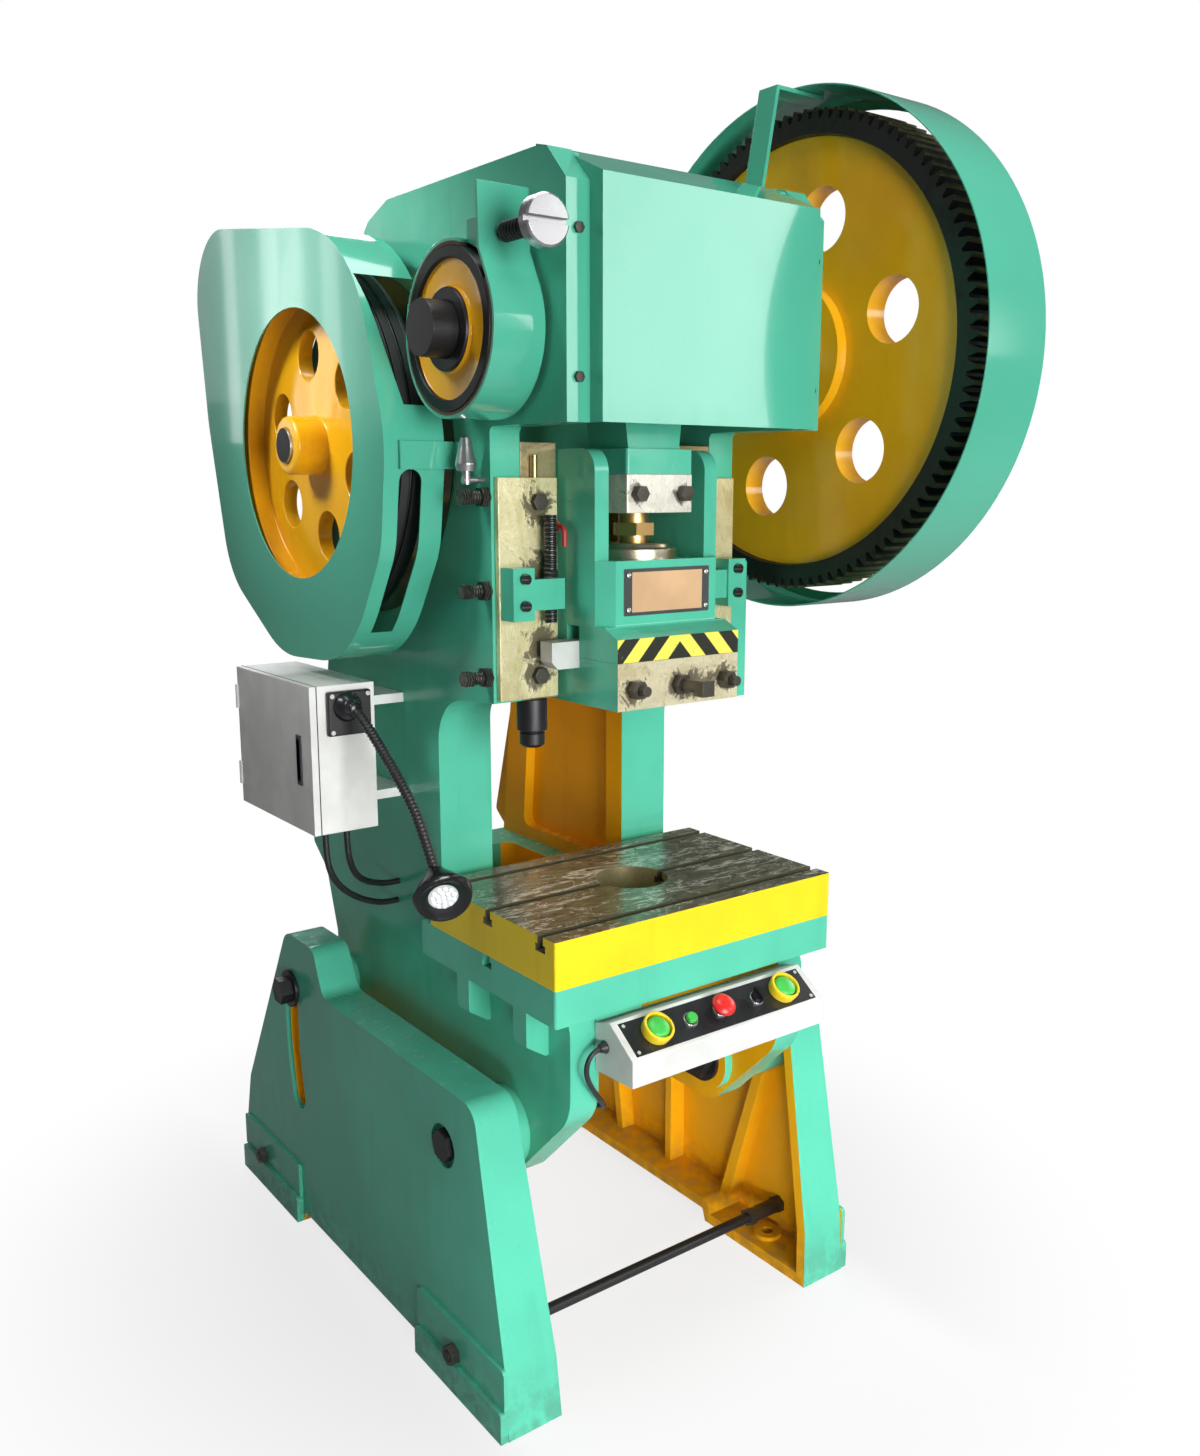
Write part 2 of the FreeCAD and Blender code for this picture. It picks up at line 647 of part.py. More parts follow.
def motor_pulley():
    """Grooved pulley with the end of the motor shaft."""
    rim = turned("x", MOTOR, grooved_rim((FLYWHEEL_X[0] + 4, FLYWHEEL_X[1] - 4), PULLEY_R, 19))
    shaft = rod("x", MOTOR, 19, FLYWHEEL_X[0] + 2, -318)
    return rim.fuse(shaft).removeSplitter()


def belt_path(x):
    """Closed path round the flywheel and the pulley, at the belt's middle line."""
    big = FLYWHEEL_R - BELT_HIGH / 2
    small = PULLEY_R - BELT_HIGH / 2
    dy, dz = MOTOR[0] - DRIVE[0], MOTOR[1] - DRIVE[1]
    line = math.atan2(dz, dy)
    lean = math.acos((big - small) / math.hypot(dy, dz))
    big_points = [on_circle(x, DRIVE, big, line + lean), on_circle(x, DRIVE, big, line + math.pi),
                  on_circle(x, DRIVE, big, line - lean)]
    small_points = [on_circle(x, MOTOR, small, line - lean), on_circle(x, MOTOR, small, line),
                    on_circle(x, MOTOR, small, line + lean)]
    return [
        Part.Arc(*big_points).toShape(),
        Part.LineSegment(big_points[2], small_points[0]).toShape(),
        Part.Arc(*small_points).toShape(),
        Part.LineSegment(small_points[2], big_points[0]).toShape(),
    ], big_points[0], line + lean


def v_belts():
    """V-belts with a tapered section, one in each groove."""
    shapes = []
    middle = sum(FLYWHEEL_X) / 2
    for index in range(BELT_COUNT):
        x = middle + BELT_PITCH * (index - (BELT_COUNT - 1) / 2)
        edges, start, angle = belt_path(x)
        out = Vector(0, math.cos(angle), math.sin(angle))
        across = Vector(1, 0, 0)
        section = [
            start + out * (BELT_HIGH / 2) - across * (BELT_TOP / 2),
            start + out * (BELT_HIGH / 2) + across * (BELT_TOP / 2),
            start - out * (BELT_HIGH / 2) + across * (BELT_FOOT / 2),
            start - out * (BELT_HIGH / 2) - across * (BELT_FOOT / 2)]
        profile = Part.makePolygon(section + section[:1])
        shapes.append(Part.Wire(edges).makePipeShell([profile], True, False))
    return group(shapes)


MOTOR_BODY = (-318.0, 90.0)
MOTOR_R = 94.0


def motor_body():
    """Finned induction motor with feet, end shields, fan cover and a terminal box behind."""
    start, end = MOTOR_BODY
    shell = turned("x", MOTOR, [
        (start, 20), (start, 60), (start + 22, MOTOR_R), (end - 70, MOTOR_R), (end - 70, MOTOR_R + 6),
        (end - 8, MOTOR_R + 2), (end, MOTOR_R - 18), (end, 0), (start + 40, 0), (start + 40, 20)])
    fins = []
    for index in range(20):
        degrees = 18 * index
        if 150 < degrees < 210:
            continue
        fin = box(start + 45, end - 90, MOTOR[0] - 2, MOTOR[0] + 2, MOTOR[1] + MOTOR_R - 3, MOTOR[1] + MOTOR_R + 9)
        fin.rotate(point("x", 0, *MOTOR), Vector(1, 0, 0), degrees - 90)
        fins.append(fin)
    foot = box(start + 60, end - 100, MOTOR[0] - 125, MOTOR[0] - 45, MOTOR[1] - 90, MOTOR[1] - 68)
    other_foot = foot.copy()
    other_foot.translate(Vector(0, 0, 158))
    terminal = box(start + 90, start + 200, MOTOR[0] + 60, MOTOR[0] + MOTOR_R + 44, MOTOR[1] - 50, MOTOR[1] + 50)
    return fused([shell, foot, other_foot, terminal] + fins)


def motor_plate():
    """Upright plate on two brackets that carries the motor behind the head."""
    back = MOTOR[0] - 125
    plate = box(MOTOR_BODY[0] + 30, MOTOR_BODY[1] - 60, back - 16, back, MOTOR[1] - 150, MOTOR[1] + 78)
    pieces = [plate]
    for x in (-232, -20):
        bracket = prism("x", x, x + 18, [
            (depth(640), 2180), (depth(640), 2290), (back - 16, MOTOR[1] + 50), (back - 16, MOTOR[1] - 110)])
        pieces.append(bracket)
    body = fused(pieces)
    return body


# ---------------------------------------------------------------- connecting rod
EYE_R = 112.0
EAR_REACH = 148.0
BALL_Z = 1592.0
BALL_R = 62.0
SCREW_R = 30.0
CUP_R = 85.0
CUP_BOTTOM = 1530.0
CUP_TOP = 1651.0
CLAMP_BOTTOM = 1709.0
CLAMP_TOP = 1781.0
ROD_BLOCK_TOP = 1828.0
CLAMP_FRONT = depth(143)
CLAMP_BACK = depth(300)


def conrod():
    """Lower half of the big end, shank and threaded lower end."""
    eye = rod("x", PIN, EYE_R, -100, 100).common(
        box(-101, 101, AXIS_Y - 150, AXIS_Y + 150, PIN[1] - 130, PIN[1]))
    ears = box(-100, 100, AXIS_Y - EAR_REACH, AXIS_Y + EAR_REACH, PIN[1] - 45, PIN[1])
    shank = prism("y", AXIS_Y - 62, AXIS_Y + 62, [
        (-62, ROD_BLOCK_TOP - 2), (62, ROD_BLOCK_TOP - 2), (84, PIN[1] - 60), (-84, PIN[1] - 60)])
    block = prism("z", CLAMP_TOP, ROD_BLOCK_TOP, [
        (-80, CLAMP_FRONT, 6), (80, CLAMP_FRONT, 6), (80, CLAMP_BACK, 6), (-80, CLAMP_BACK, 6)])
    body = fused([eye, ears, shank, block])
    body = body.cut(rod("x", PIN, PIN_R + 0.05, -101, 101))
    return body.cut(rod("z", (0, AXIS_Y), SCREW_R, CLAMP_TOP - 1, CLAMP_TOP + 110)).removeSplitter()


def conrod_cap():
    """Upper half of the big end."""
    eye = rod("x", PIN, EYE_R, -100, 100).common(
        box(-101, 101, AXIS_Y - 150, AXIS_Y + 150, PIN[1] + 0.2, PIN[1] + 130))
    ears = box(-100, 100, AXIS_Y - EAR_REACH, AXIS_Y + EAR_REACH, PIN[1] + 0.2, PIN[1] + 45)
    body = fused([eye, ears])
    return body.cut(rod("x", PIN, PIN_R + 0.05, -101, 101)).removeSplitter()


def conrod_bolts():
    """Nuts on the cap and the two screws of the clamp block."""
    shapes = []
    for x in (-60, 60):
        for y in (AXIS_Y - EAR_REACH + 20, AXIS_Y + EAR_REACH - 20):
            shapes.append(hexagon("z", (x, y), 30, PIN[1] + 45, PIN[1] + 68))
    for x in (-55, 55):
        centre = (x, CLAMP_BOTTOM + 36)
        shapes.append(hexagon("y", centre, 28, CLAMP_FRONT - 18, CLAMP_FRONT))
    return group(shapes)


def clamp_block():
    """Steel block that locks the adjusting screw."""
    body = prism("z", CLAMP_BOTTOM, CLAMP_TOP, [
        (-80, CLAMP_FRONT, 3), (80, CLAMP_FRONT, 3), (80, CLAMP_BACK, 3), (-80, CLAMP_BACK, 3)])
    return body.cut(rod("z", (0, AXIS_Y), SCREW_R, CLAMP_BOTTOM, CLAMP_TOP))


def ball_screw():
    """Adjusting screw with a ball at its foot and a hexagon for turning it."""
    ball = Part.makeSphere(BALL_R, Vector(0, AXIS_Y, BALL_Z))
    screw = rod("z", (0, AXIS_Y), SCREW_R, BALL_Z, CLAMP_TOP + 100)
    collar = hexagon("z", (0, AXIS_Y), 74, CUP_TOP + 14, CUP_TOP + 38)
    return fused([ball, screw, collar])


def ball_cup():
    """Ball seat and its screwed retaining ring, stepped at the top."""
    body = turned("z", (0, AXIS_Y), [
        (CUP_BOTTOM, 0), (CUP_BOTTOM, CUP_R - 8), (CUP_BOTTOM + 12, CUP_R - 4), (CUP_TOP - 40, CUP_R - 4),
        (CUP_TOP - 40, CUP_R), (CUP_TOP - 10, CUP_R), (CUP_TOP - 10, CUP_R - 12), (CUP_TOP, CUP_R - 16),
        (CUP_TOP, 0)])
    hollow = Part.makeSphere(BALL_R + 0.1, Vector(0, AXIS_Y, BALL_Z))
    mouth = turned("z", (0, AXIS_Y), [(BALL_Z, 0), (BALL_Z, 46), (CUP_TOP + 1, 46), (CUP_TOP + 1, 0)])
    return body.cut(hollow).cut(mouth)


# ---------------------------------------------------------------- ram
PANEL_BOTTOM = 1487.0
PANEL_TOP = 1622.0
PANEL_DEPTH = 120.0
CHEEK_DEPTH = 150.0
CHEEK_THICK = 32.0
GUIDE_Y = depth(340)
GUIDE_REACH = 35.0
KNOCK_FRONT = depth(200)
KNOCK_BACK = depth(240)
KNOCK_FLOOR = RAM_BOTTOM + SHANK_DEEP
KNOCK_HIGH = 52.0
KNOCK_TRAVEL = 28.0
CLAMP_PLATE_TOP = 1437.0


def ram():
    """Cast slide: shank block, panel, two cheeks, V-guides and the pocket of the ball seat."""
    side = [
        (RAM_FRONT_DEPTH, RAM_BOTTOM), (RAM_FRONT_DEPTH, PANEL_BOTTOM - 6), (PANEL_DEPTH, PANEL_BOTTOM + 12, 8),
        (PANEL_DEPTH, PANEL_TOP), (CHEEK_DEPTH, PANEL_TOP), (CHEEK_DEPTH, RAM_TOP, 42),
        (RAM_BACK_DEPTH, RAM_TOP), (RAM_BACK_DEPTH, RAM_BOTTOM)]
    body = prism("x", -RAM_HALF, RAM_HALF, at_depth(side))
    ridge = prism("z", RAM_BOTTOM, RAM_TOP, [
        (-RAM_HALF + 1, GUIDE_Y - GUIDE_REACH - 1), (-RAM_HALF - GUIDE_REACH, GUIDE_Y),
        (-RAM_HALF + 1, GUIDE_Y + GUIDE_REACH + 1)])
    body = fused([body] + both_sides(ridge))
    bevel = prism("z", PANEL_BOTTOM + 12, RAM_TOP + 1, [
        (-RAM_HALF - 1, depth(CHEEK_DEPTH) + 1), (-RAM_HALF - 1, depth(PANEL_DEPTH) - 1),
        (-RAM_HALF + 27, depth(PANEL_DEPTH) - 1)])
    cuts = both_sides(bevel)
    opening = RAM_HALF - CHEEK_THICK
    cuts.append(box(-opening, opening, depth(0), depth(500), PANEL_TOP, RAM_TOP + 1))
    cuts.append(pocket())
    cuts.append(box(-RAM_HALF - 40, RAM_HALF + 40, KNOCK_FRONT, KNOCK_BACK, KNOCK_FLOOR,
                    KNOCK_FLOOR + KNOCK_HIGH + KNOCK_TRAVEL))
    cuts.append(box(-RAM_HALF - 1, RAM_HALF + 1, depth(0), AXIS_Y, RAM_BOTTOM - 1, CLAMP_PLATE_TOP))
    cuts.append(rod("z", (0, AXIS_Y), SHANK_R, RAM_BOTTOM - 1, KNOCK_FLOOR + 1))
    return body.cut(group(cuts)).removeSplitter()


def pocket():
    """Room for the ball seat, long enough for the crank's throw towards the back."""
    radius = CUP_R + 1
    floor = CUP_BOTTOM - 15
    back = AXIS_Y + THROW + 1
    ends = [rod("z", (0, y), radius, floor, PANEL_TOP + 1) for y in (AXIS_Y, back)]
    return fused(ends + [box(-radius, radius, AXIS_Y, back, floor, PANEL_TOP + 1)])


def clamp_plate():
    """Front half of the shank clamp, with a rebate for the knock-out bar."""
    body = box(-RAM_HALF + 0.5, RAM_HALF - 0.5, depth(RAM_FRONT_DEPTH), AXIS_Y - 0.5, RAM_BOTTOM, CLAMP_PLATE_TOP - 0.5)
    body = body.cut(rod("z", (0, AXIS_Y), SHANK_R, RAM_BOTTOM - 3, CLAMP_PLATE_TOP))
    return body.cut(box(-RAM_HALF, RAM_HALF, KNOCK_FRONT, AXIS_Y, KNOCK_FLOOR, CLAMP_PLATE_TOP))


def clamp_bolts():
    """Two studs with nuts and the long square-headed screw that grips the shank."""
    front = depth(RAM_FRONT_DEPTH)
    z = RAM_BOTTOM + 40
    shapes = []
    for x in (-112, 112):
        stud = rod("y", (x, z), 10, front - 42, front)
        shapes.append(stud.fuse(hexagon("y", (x, z), 32, front - 24, front)).removeSplitter())
    shank = rod("y", (0, z), 12, front - 62, front)
    head = box(-15, 15, front - 84, front - 58, z - 15, z + 15)
    lock_nut = hexagon("y", (0, z), 36, front - 16, front)
    shapes.append(fused([shank, head, lock_nut]))
    return group(shapes)


def nameplate():
    """Blank rating plate on the panel."""
    y = depth(PANEL_DEPTH)
    return prism("y", y - 2, y, [(-105, 1519, 3), (105, 1519, 3), (105, 1607, 3), (-105, 1607, 3)])


def knockout_bar():
    """Flat bar through the ram whose ends meet the stop screws, relieved over the shank."""
    reach = 213.0
    chamfer = 14.0
    gap = 0.5
    top = KNOCK_FLOOR + KNOCK_HIGH
    bar = prism("y", KNOCK_FRONT + gap, KNOCK_BACK - gap, [
        (-reach, top), (-reach, KNOCK_FLOOR + chamfer), (-reach + chamfer, KNOCK_FLOOR),
        (reach - chamfer, KNOCK_FLOOR), (reach, KNOCK_FLOOR + chamfer), (reach, top)])
    return bar.cut(rod("z", (0, AXIS_Y), SHANK_R + 2, KNOCK_FLOOR - 1, KNOCK_FLOOR + 2))


# ---------------------------------------------------------------- guides and stops
GIB_FRONT = depth(270)
GIB_BACK = depth(418)
GIB_BOTTOM = 1352.0
GIB_TOP = 1840.0
GIB_PLATE_FRONT = depth(256)
GIB_SCREW_Y = depth(285)
GIB_SCREW_Z = (1402.0, 1566.0, 1739.0)


def gib():
    """Guide bar with the V-groove that holds the ram."""
    slide = 3.0
    clear = 0.42
    face = -RAM_HALF - slide
    half = GUIDE_REACH + clear - slide
    return prism("z", GIB_BOTTOM, GIB_TOP, [
        (-WALL_INNER + 1, GIB_FRONT), (face, GIB_FRONT), (face, GUIDE_Y - half),
        (-RAM_HALF - GUIDE_REACH - clear, GUIDE_Y), (face, GUIDE_Y + half), (face, GIB_BACK),
        (-WALL_INNER + 1, GIB_BACK)])


def gibs():
    return group(both_sides(gib()))


def gib_plates():
    """Machined plates that close the front of the guides."""
    plate = prism("y", GIB_PLATE_FRONT, GIB_FRONT, [(-293, 1357), (-160, 1357), (-160, 1775), (-293, 1775)])
    return group(both_sides(plate))


def gib_plate_bolts():
    shapes = []
    for z in (1401, 1730):
        shapes.extend(both_sides(hexagon("y", (-205, z), 30, GIB_PLATE_FRONT - 13, GIB_PLATE_FRONT)))
    return group(shapes)


def gib_adjusting_screws():
    """Screws with lock nuts that press the left gib against the ram."""
    shapes = []
    for z in GIB_SCREW_Z:
        centre = (GIB_SCREW_Y, z)
        screw = rod("x", centre, 12, -WALL_OUTER - 55, -WALL_INNER + 1)
        nut = hexagon("x", centre, 34, -WALL_OUTER - 16, -WALL_OUTER)
        head = hexagon("x", centre, 27, -WALL_OUTER - 58, -WALL_OUTER - 38)
        shapes.append(fused([screw, nut, head]))
    return group(shapes)


def gib_foot_screw():
    """Heavy screw under the left gib that carries its weight, with a knob-shaped head."""
    centre = (-202, depth(287))
    return turned("z", centre, [
        (GIB_BOTTOM, 0), (GIB_BOTTOM, 30), (1290, 30), (1290, 22), (1284, 20), (1284, 25), (1262, 25), (1256, 18),
        (1256, 0)])


def stop_brackets():
    """Knock-out stop brackets: a block on each gib plate and an arm towards the ram."""
    block = box(-290, -243, depth(212), GIB_PLATE_FRONT, 1512, 1610)
    arm = box(-244, -170, depth(218), depth(246), 1530, 1588)
    bracket = block.fuse(arm).cut(rod("z", (-193, depth(232)), 12, 1500, 1600)).removeSplitter()
    return group(both_sides(bracket))


def stop_screws():
    """Long threaded stop screw through each arm, and the two bolts of each bracket."""
    centre = (-193, depth(232))
    screw = rod("z", centre, 12, 1504, 1706)
    nut = hexagon("z", centre, 26, 1588, 1604).common(box(-230, -150, depth(218), depth(247), 1500, 1700))
    shapes = both_sides(screw.fuse(nut).removeSplitter())
    for z in (1540, 1590):
        shapes.extend(both_sides(rod("y", (-266, z), 10, depth(202), depth(212))))
    return group(shapes)


def oil_fittings():
    """Bright conical oiler left of the guides, a bent oil pipe in front of them and a stud."""
    centre = (-336, depth(296))
    cup = turned("z", centre, [
        (1786, 0), (1786, 17), (1798, 20), (1800, 20), (1830, 13), (1846, 10), (1850, 0)])
    stem = rod("z", centre, 8, 1762, 1787)
    elbow = rod("x", (centre[1], 1770), 6.5, -344, -WALL_OUTER)
    pipe = oil_pipe()
    nut = hexagon("y", (-168, 1684), 20, GIB_PLATE_FRONT - 8, GIB_PLATE_FRONT)
    stud = rod("z", (-208, (GIB_PLATE_FRONT + GIB_FRONT) / 2), 6.5, 1775, 1816)
    return group([fused([cup, stem, elbow]), fused([pipe, nut]), stud])


def oil_pipe():
    """Pipe that leaves the gib plate forwards and bends down beside the ram."""
    bend = 12.0
    y, z, foot = GIB_PLATE_FRONT - 34, 1684.0, 1647.0
    start = Vector(-168, GIB_PLATE_FRONT - 7, z)
    first = Vector(-168, y + bend, z)
    middle = Vector(-168, y + bend * (1 - math.sqrt(0.5)), z - bend * (1 - math.sqrt(0.5)))
    last = Vector(-168, y, z - bend)
    edges = [
        Part.LineSegment(start, first).toShape(), Part.Arc(first, middle, last).toShape(),
        Part.LineSegment(last, Vector(-168, y, foot)).toShape()]
    return swept(edges, start, Vector(0, -1, 0), 5)


# ---------------------------------------------------------------- covers and guards
COVER_HALF = 252.0
COVER_FRONT = depth(-10)
COVER_BOTTOM = 1865.0
COVER_SHOULDER = 2262.0


def crank_cover():
    """Sheet cover before the crank: front, sloping top, two sides and flanges on the walls."""
    top = [(COVER_FRONT, COVER_SHOULDER), (depth(112), 2318)]
    outer = prism("x", -COVER_HALF, COVER_HALF, [
        (depth(112), COVER_BOTTOM), (COVER_FRONT, COVER_BOTTOM)] + top)
    inner = prism("x", -COVER_HALF + SHEET, COVER_HALF - SHEET, [
        (depth(113), COVER_BOTTOM - 1), (COVER_FRONT + SHEET, COVER_BOTTOM - 1),
        (COVER_FRONT + SHEET, COVER_SHOULDER - 2), (depth(113), 2315)])
    walls = prism("x", -WALL_OUTER, -WALL_INNER, wall_outline())
    hood = outer.cut(inner).cut(group(both_sides(walls)))
    seat = [(HEAD_FRONT, COVER_BOTTOM)] + list(HEAD_CHAMFER)
    outside = [(112, 2318), (80.5, 2310), (HEAD_FRONT - SHEET, 2252), (HEAD_FRONT - SHEET, COVER_BOTTOM)]
    flange = prism("x", -WALL_OUTER, -COVER_HALF + SHEET, at_depth(seat + outside))
    return fused([hood] + both_sides(flange))


def cover_screws():
    shapes = []
    seat = depth(HEAD_FRONT) - SHEET
    for z in (1939, 2176):
        shapes.extend(both_sides(hexagon("y", (-276, z), 17, seat - 7, seat)))
    return group(shapes)


HOOP_R = 520.0
PINION_HOOP_R = 112.0
HOOP_X = (391.0, 558.0)


def gear_guard():
    """Sheet band round the large gear and the pinion, with an outer lip and two struts."""
    start, end = HOOP_X
    band = gear_room(0, start, end).cut(gear_room(SHEET, start - 1, end + 1))
    lip = gear_room(0, end - SHEET, end).cut(gear_room(22, end - SHEET - 1, end + 1))
    return fused([band, lip] + [strut(degrees) for degrees in (90, -60)])


def gear_room(inset, start, end):
    """Room of the large gear and the pinion, smaller by an inset."""
    large = rod("x", CRANK, HOOP_R - inset, start, end)
    return large.fuse(rod("x", DRIVE, PINION_HOOP_R - inset, start, end))


def strut(degrees):
    """Flat bar from the right wall out to the hoop, drawn upright and turned into place."""
    low, high = CRANK_Z + 240, CRANK_Z + HOOP_R - SHEET - 1.5
    half = 26.0
    bar = prism("y", AXIS_Y - half, AXIS_Y + half, [
        (WALL_OUTER, low), (WALL_OUTER + 8, low), (WALL_OUTER + 8, high - 200), (344, high - 8), (470, high - 8),
        (470, high), (337, high), (WALL_OUTER, high - 199)])
    pad = box(440, 470, AXIS_Y - 12, AXIS_Y + 12, high - 4, high + 3)
    bar = bar.fuse(pad)
    bar.rotate(point("x", 0, *CRANK), Vector(1, 0, 0), degrees - 90)
    return bar


def belt_guard_outline():
    points = [
        (343, 1840, 260), (372, 1640, 150), (520, 1415, 260), (850, 1400, 260), (1130, 1560, 200),
        (1215, 1900, 300), (1268, 2336, 150), (457, 2219, 290)]
    return at_depth(points)


def belt_guard():
    """Teardrop sheet guard: face with a round window, side band, slot, notch and bracket."""
    near, far = -GUARD_DEPTH_X, -350.0
    points = belt_guard_outline()
    body = prism("x", near, far, points)
    inside = Part.Face(outline("x", near + SHEET, points)).makeOffset2D(-SHEET)
    body = body.cut(inside.extrude(Vector(far - near, 0, 0)))
    body = body.cut(rod("x", DRIVE, 269, near - 1, near + SHEET + 1))
    slot_top = 1766.0
    slot = box(-444, -397, depth(300), depth(560), 1478, slot_top)
    slot = slot.fuse(rod("y", (-420.5, slot_top), 23.5, depth(300), depth(560)))
    notch = prism("y", depth(300), depth(480), [(-471, 2140), (far + 1, 2140), (far + 1, 1905), (-425, 1905)])
    body = body.cut(slot).cut(notch)
    tab = box(-446, -WALL_OUTER, depth(341), depth(347), 1790, 1840)
    return fused([body, tab, guard_post()])


def guard_post():
    """Stud between the rear of the guard's band and the frame wall."""
    return box(-352, -WALL_OUTER, depth(760), depth(800), 1404, 1424)


# ---------------------------------------------------------------- brake
BAND_X = (-410.0, -308.0)
BAND_END_DEG = 106.0
BRAKE_ROD = (-366.0, 2171.0)
SPRING_WIRE_R = 2.6
SPRING_R = 14.5
SPRING_TURNS = 9


def brake_drum():
    """Dished drum on the crank stub, with a thick rim and a hub ring."""
    return turned("x", CRANK, [
        (-412, DRUM_R - 20), (-412, DRUM_R), (-306, DRUM_R), (-306, STUB_R), (-416, STUB_R), (-416, 70),
        (-404, 72), (-402, 90), (-404, DRUM_R - 20)])


BRAKE_ROD_END = depth(167)


def brake_lining():
    return sector("x", CRANK, DRUM_R + 0.4, DRUM_R + 6, -210, BAND_END_DEG, *BAND_X)


def brake_band():
    """Steel band round the drum: an upright tab at one end, at the other a lug on the wall."""
    inner, outer = DRUM_R + 6, DRUM_R + 12
    band = sector("x", CRANK, inner, outer, -210, BAND_END_DEG, *BAND_X)
    start_out = on_circle(0, CRANK, outer, math.radians(150))
    start_in = on_circle(0, CRANK, inner, math.radians(150))
    tab = prism("x", *BAND_X, [
        (start_out.y, start_out.z), (depth(119), 2147), (depth(122), 2250), (depth(128), 2250),
        (depth(125), 2145.5), (start_in.y, start_in.z)])
    lug = box(-392, -320, depth(150), depth(186), 2140, 2200).cut(rod("x", CRANK, inner, -500, 0))
    anchor = box(-321, -WALL_OUTER, depth(154), depth(182), 2170, 2196)
    body = fused([band, tab, lug, anchor])
    return body.cut(rod("y", BRAKE_ROD, 8.5, depth(100), BRAKE_ROD_END)).removeSplitter()


def brake_tension_screw():
    """Screw with a slotted round knob that sets the pull of the band."""
    knob = turned("y", BRAKE_ROD, [
        (depth(-20), 0), (depth(-20), 38), (depth(-17), 41.5), (depth(4), 41.5), (depth(8), 36), (depth(8), 0)])
    slot = box(BRAKE_ROD[0] - 50, BRAKE_ROD[0] + 50, depth(-21), depth(-9), BRAKE_ROD[1] - 5, BRAKE_ROD[1] + 5)
    return knob.cut(slot).fuse(rod("y", BRAKE_ROD, 8, depth(7), BRAKE_ROD_END)).removeSplitter()


def brake_spring():
    """Compression spring between the knob and the tab, one unbroken wire."""
    start_y, end_y = depth(9), depth(118.6)
    lead = SPRING_WIRE_R * 2
    bend = SPRING_WIRE_R * 2.4
    coil_start, coil_end = start_y + lead + bend, end_y - lead - bend
    quarters = SPRING_TURNS * 4
    rise = (coil_end - coil_start) / quarters
    slope = math.atan2(rise, SPRING_R * math.pi / 2)

    def at(index):
        angle = math.pi / 2 * index
        return Vector(BRAKE_ROD[0] + SPRING_R * math.cos(angle), coil_start + rise * index,
                      BRAKE_ROD[1] + SPRING_R * math.sin(angle))

    def way(index):
        angle = math.pi / 2 * index
        return Vector(-math.sin(angle) * math.cos(slope), math.sin(slope), math.cos(angle) * math.cos(slope))

    edges = []
    first_point = at(0) - Vector(0, 1, 0) * bend - way(0) * bend
    edges.append(Part.LineSegment(first_point - Vector(0, lead, 0), first_point).toShape())
    edges.extend(biarc(first_point, Vector(0, 1, 0), at(0), way(0)))
    for index in range(quarters):
        edges.extend(biarc(at(index), way(index), at(index + 1), way(index + 1)))
    last_point = at(quarters) + way(quarters) * bend + Vector(0, 1, 0) * bend
    edges.extend(biarc(at(quarters), way(quarters), last_point, Vector(0, 1, 0)))
    edges.append(Part.LineSegment(last_point, last_point + Vector(0, lead, 0)).toShape())
    print("brake spring gap between turns", round(rise * 4 - 2 * SPRING_WIRE_R, 2))
    return swept(edges, first_point - Vector(0, lead, 0), Vector(0, 1, 0), SPRING_WIRE_R)


# ---------------------------------------------------------------- electrics
BOX_X = (-524.0, -399.0)
BOX_DEPTH = (572.0, 952.0)
BOX_Z = (1064.0, 1368.0)
DOOR_THICK = 16.0
LAMP_BASE = (-459.0, 1311.0)
LAMP_ROUTE = [
    (-466, depth(556), 1325), (-466, depth(520), 1322), (-459, depth(494), 1300), (-450, depth(466), 1268),
    (-443, depth(432), 1232), (-438, depth(380), 1186), (-433, depth(350), 1150), (-430, depth(326), 1112),
    (-427, depth(310), 1078), (-426, depth(291), 1046)]


HINGE = (BOX_X[0] - DOOR_THICK, depth(BOX_DEPTH[1]))
KNUCKLE_R = 5.0
KNUCKLE_LONG = 26.0
KNUCKLES = (BOX_Z[0] + 40, BOX_Z[1] - 92)


def electrical_box():
    """Sheet box with a flanged mouth for its door, held off the wall by two rails."""
    y0, y1 = depth(BOX_DEPTH[0]), depth(BOX_DEPTH[1])
    shell = box(BOX_X[0], BOX_X[1], y0, y1, *BOX_Z)
    hollow = box(BOX_X[0] - 1, BOX_X[1] - SHEET, y0 + SHEET, y1 - SHEET, BOX_Z[0] + SHEET, BOX_Z[1] - SHEET)
    pieces = [shell.cut(hollow)]
    for z in (BOX_Z[0] + 40, BOX_Z[1] - 60):
        pieces.append(box(BOX_X[1], -WALL_OUTER, y0 + 60, y0 + 240, z, z + 20))
    for z in KNUCKLES:
        pieces.append(rod("z", HINGE, KNUCKLE_R, z, z + KNUCKLE_LONG))
        pieces.append(box(HINGE[0], HINGE[0] + 40, y1, y1 + 2.5, z, z + KNUCKLE_LONG))
    return fused(pieces)


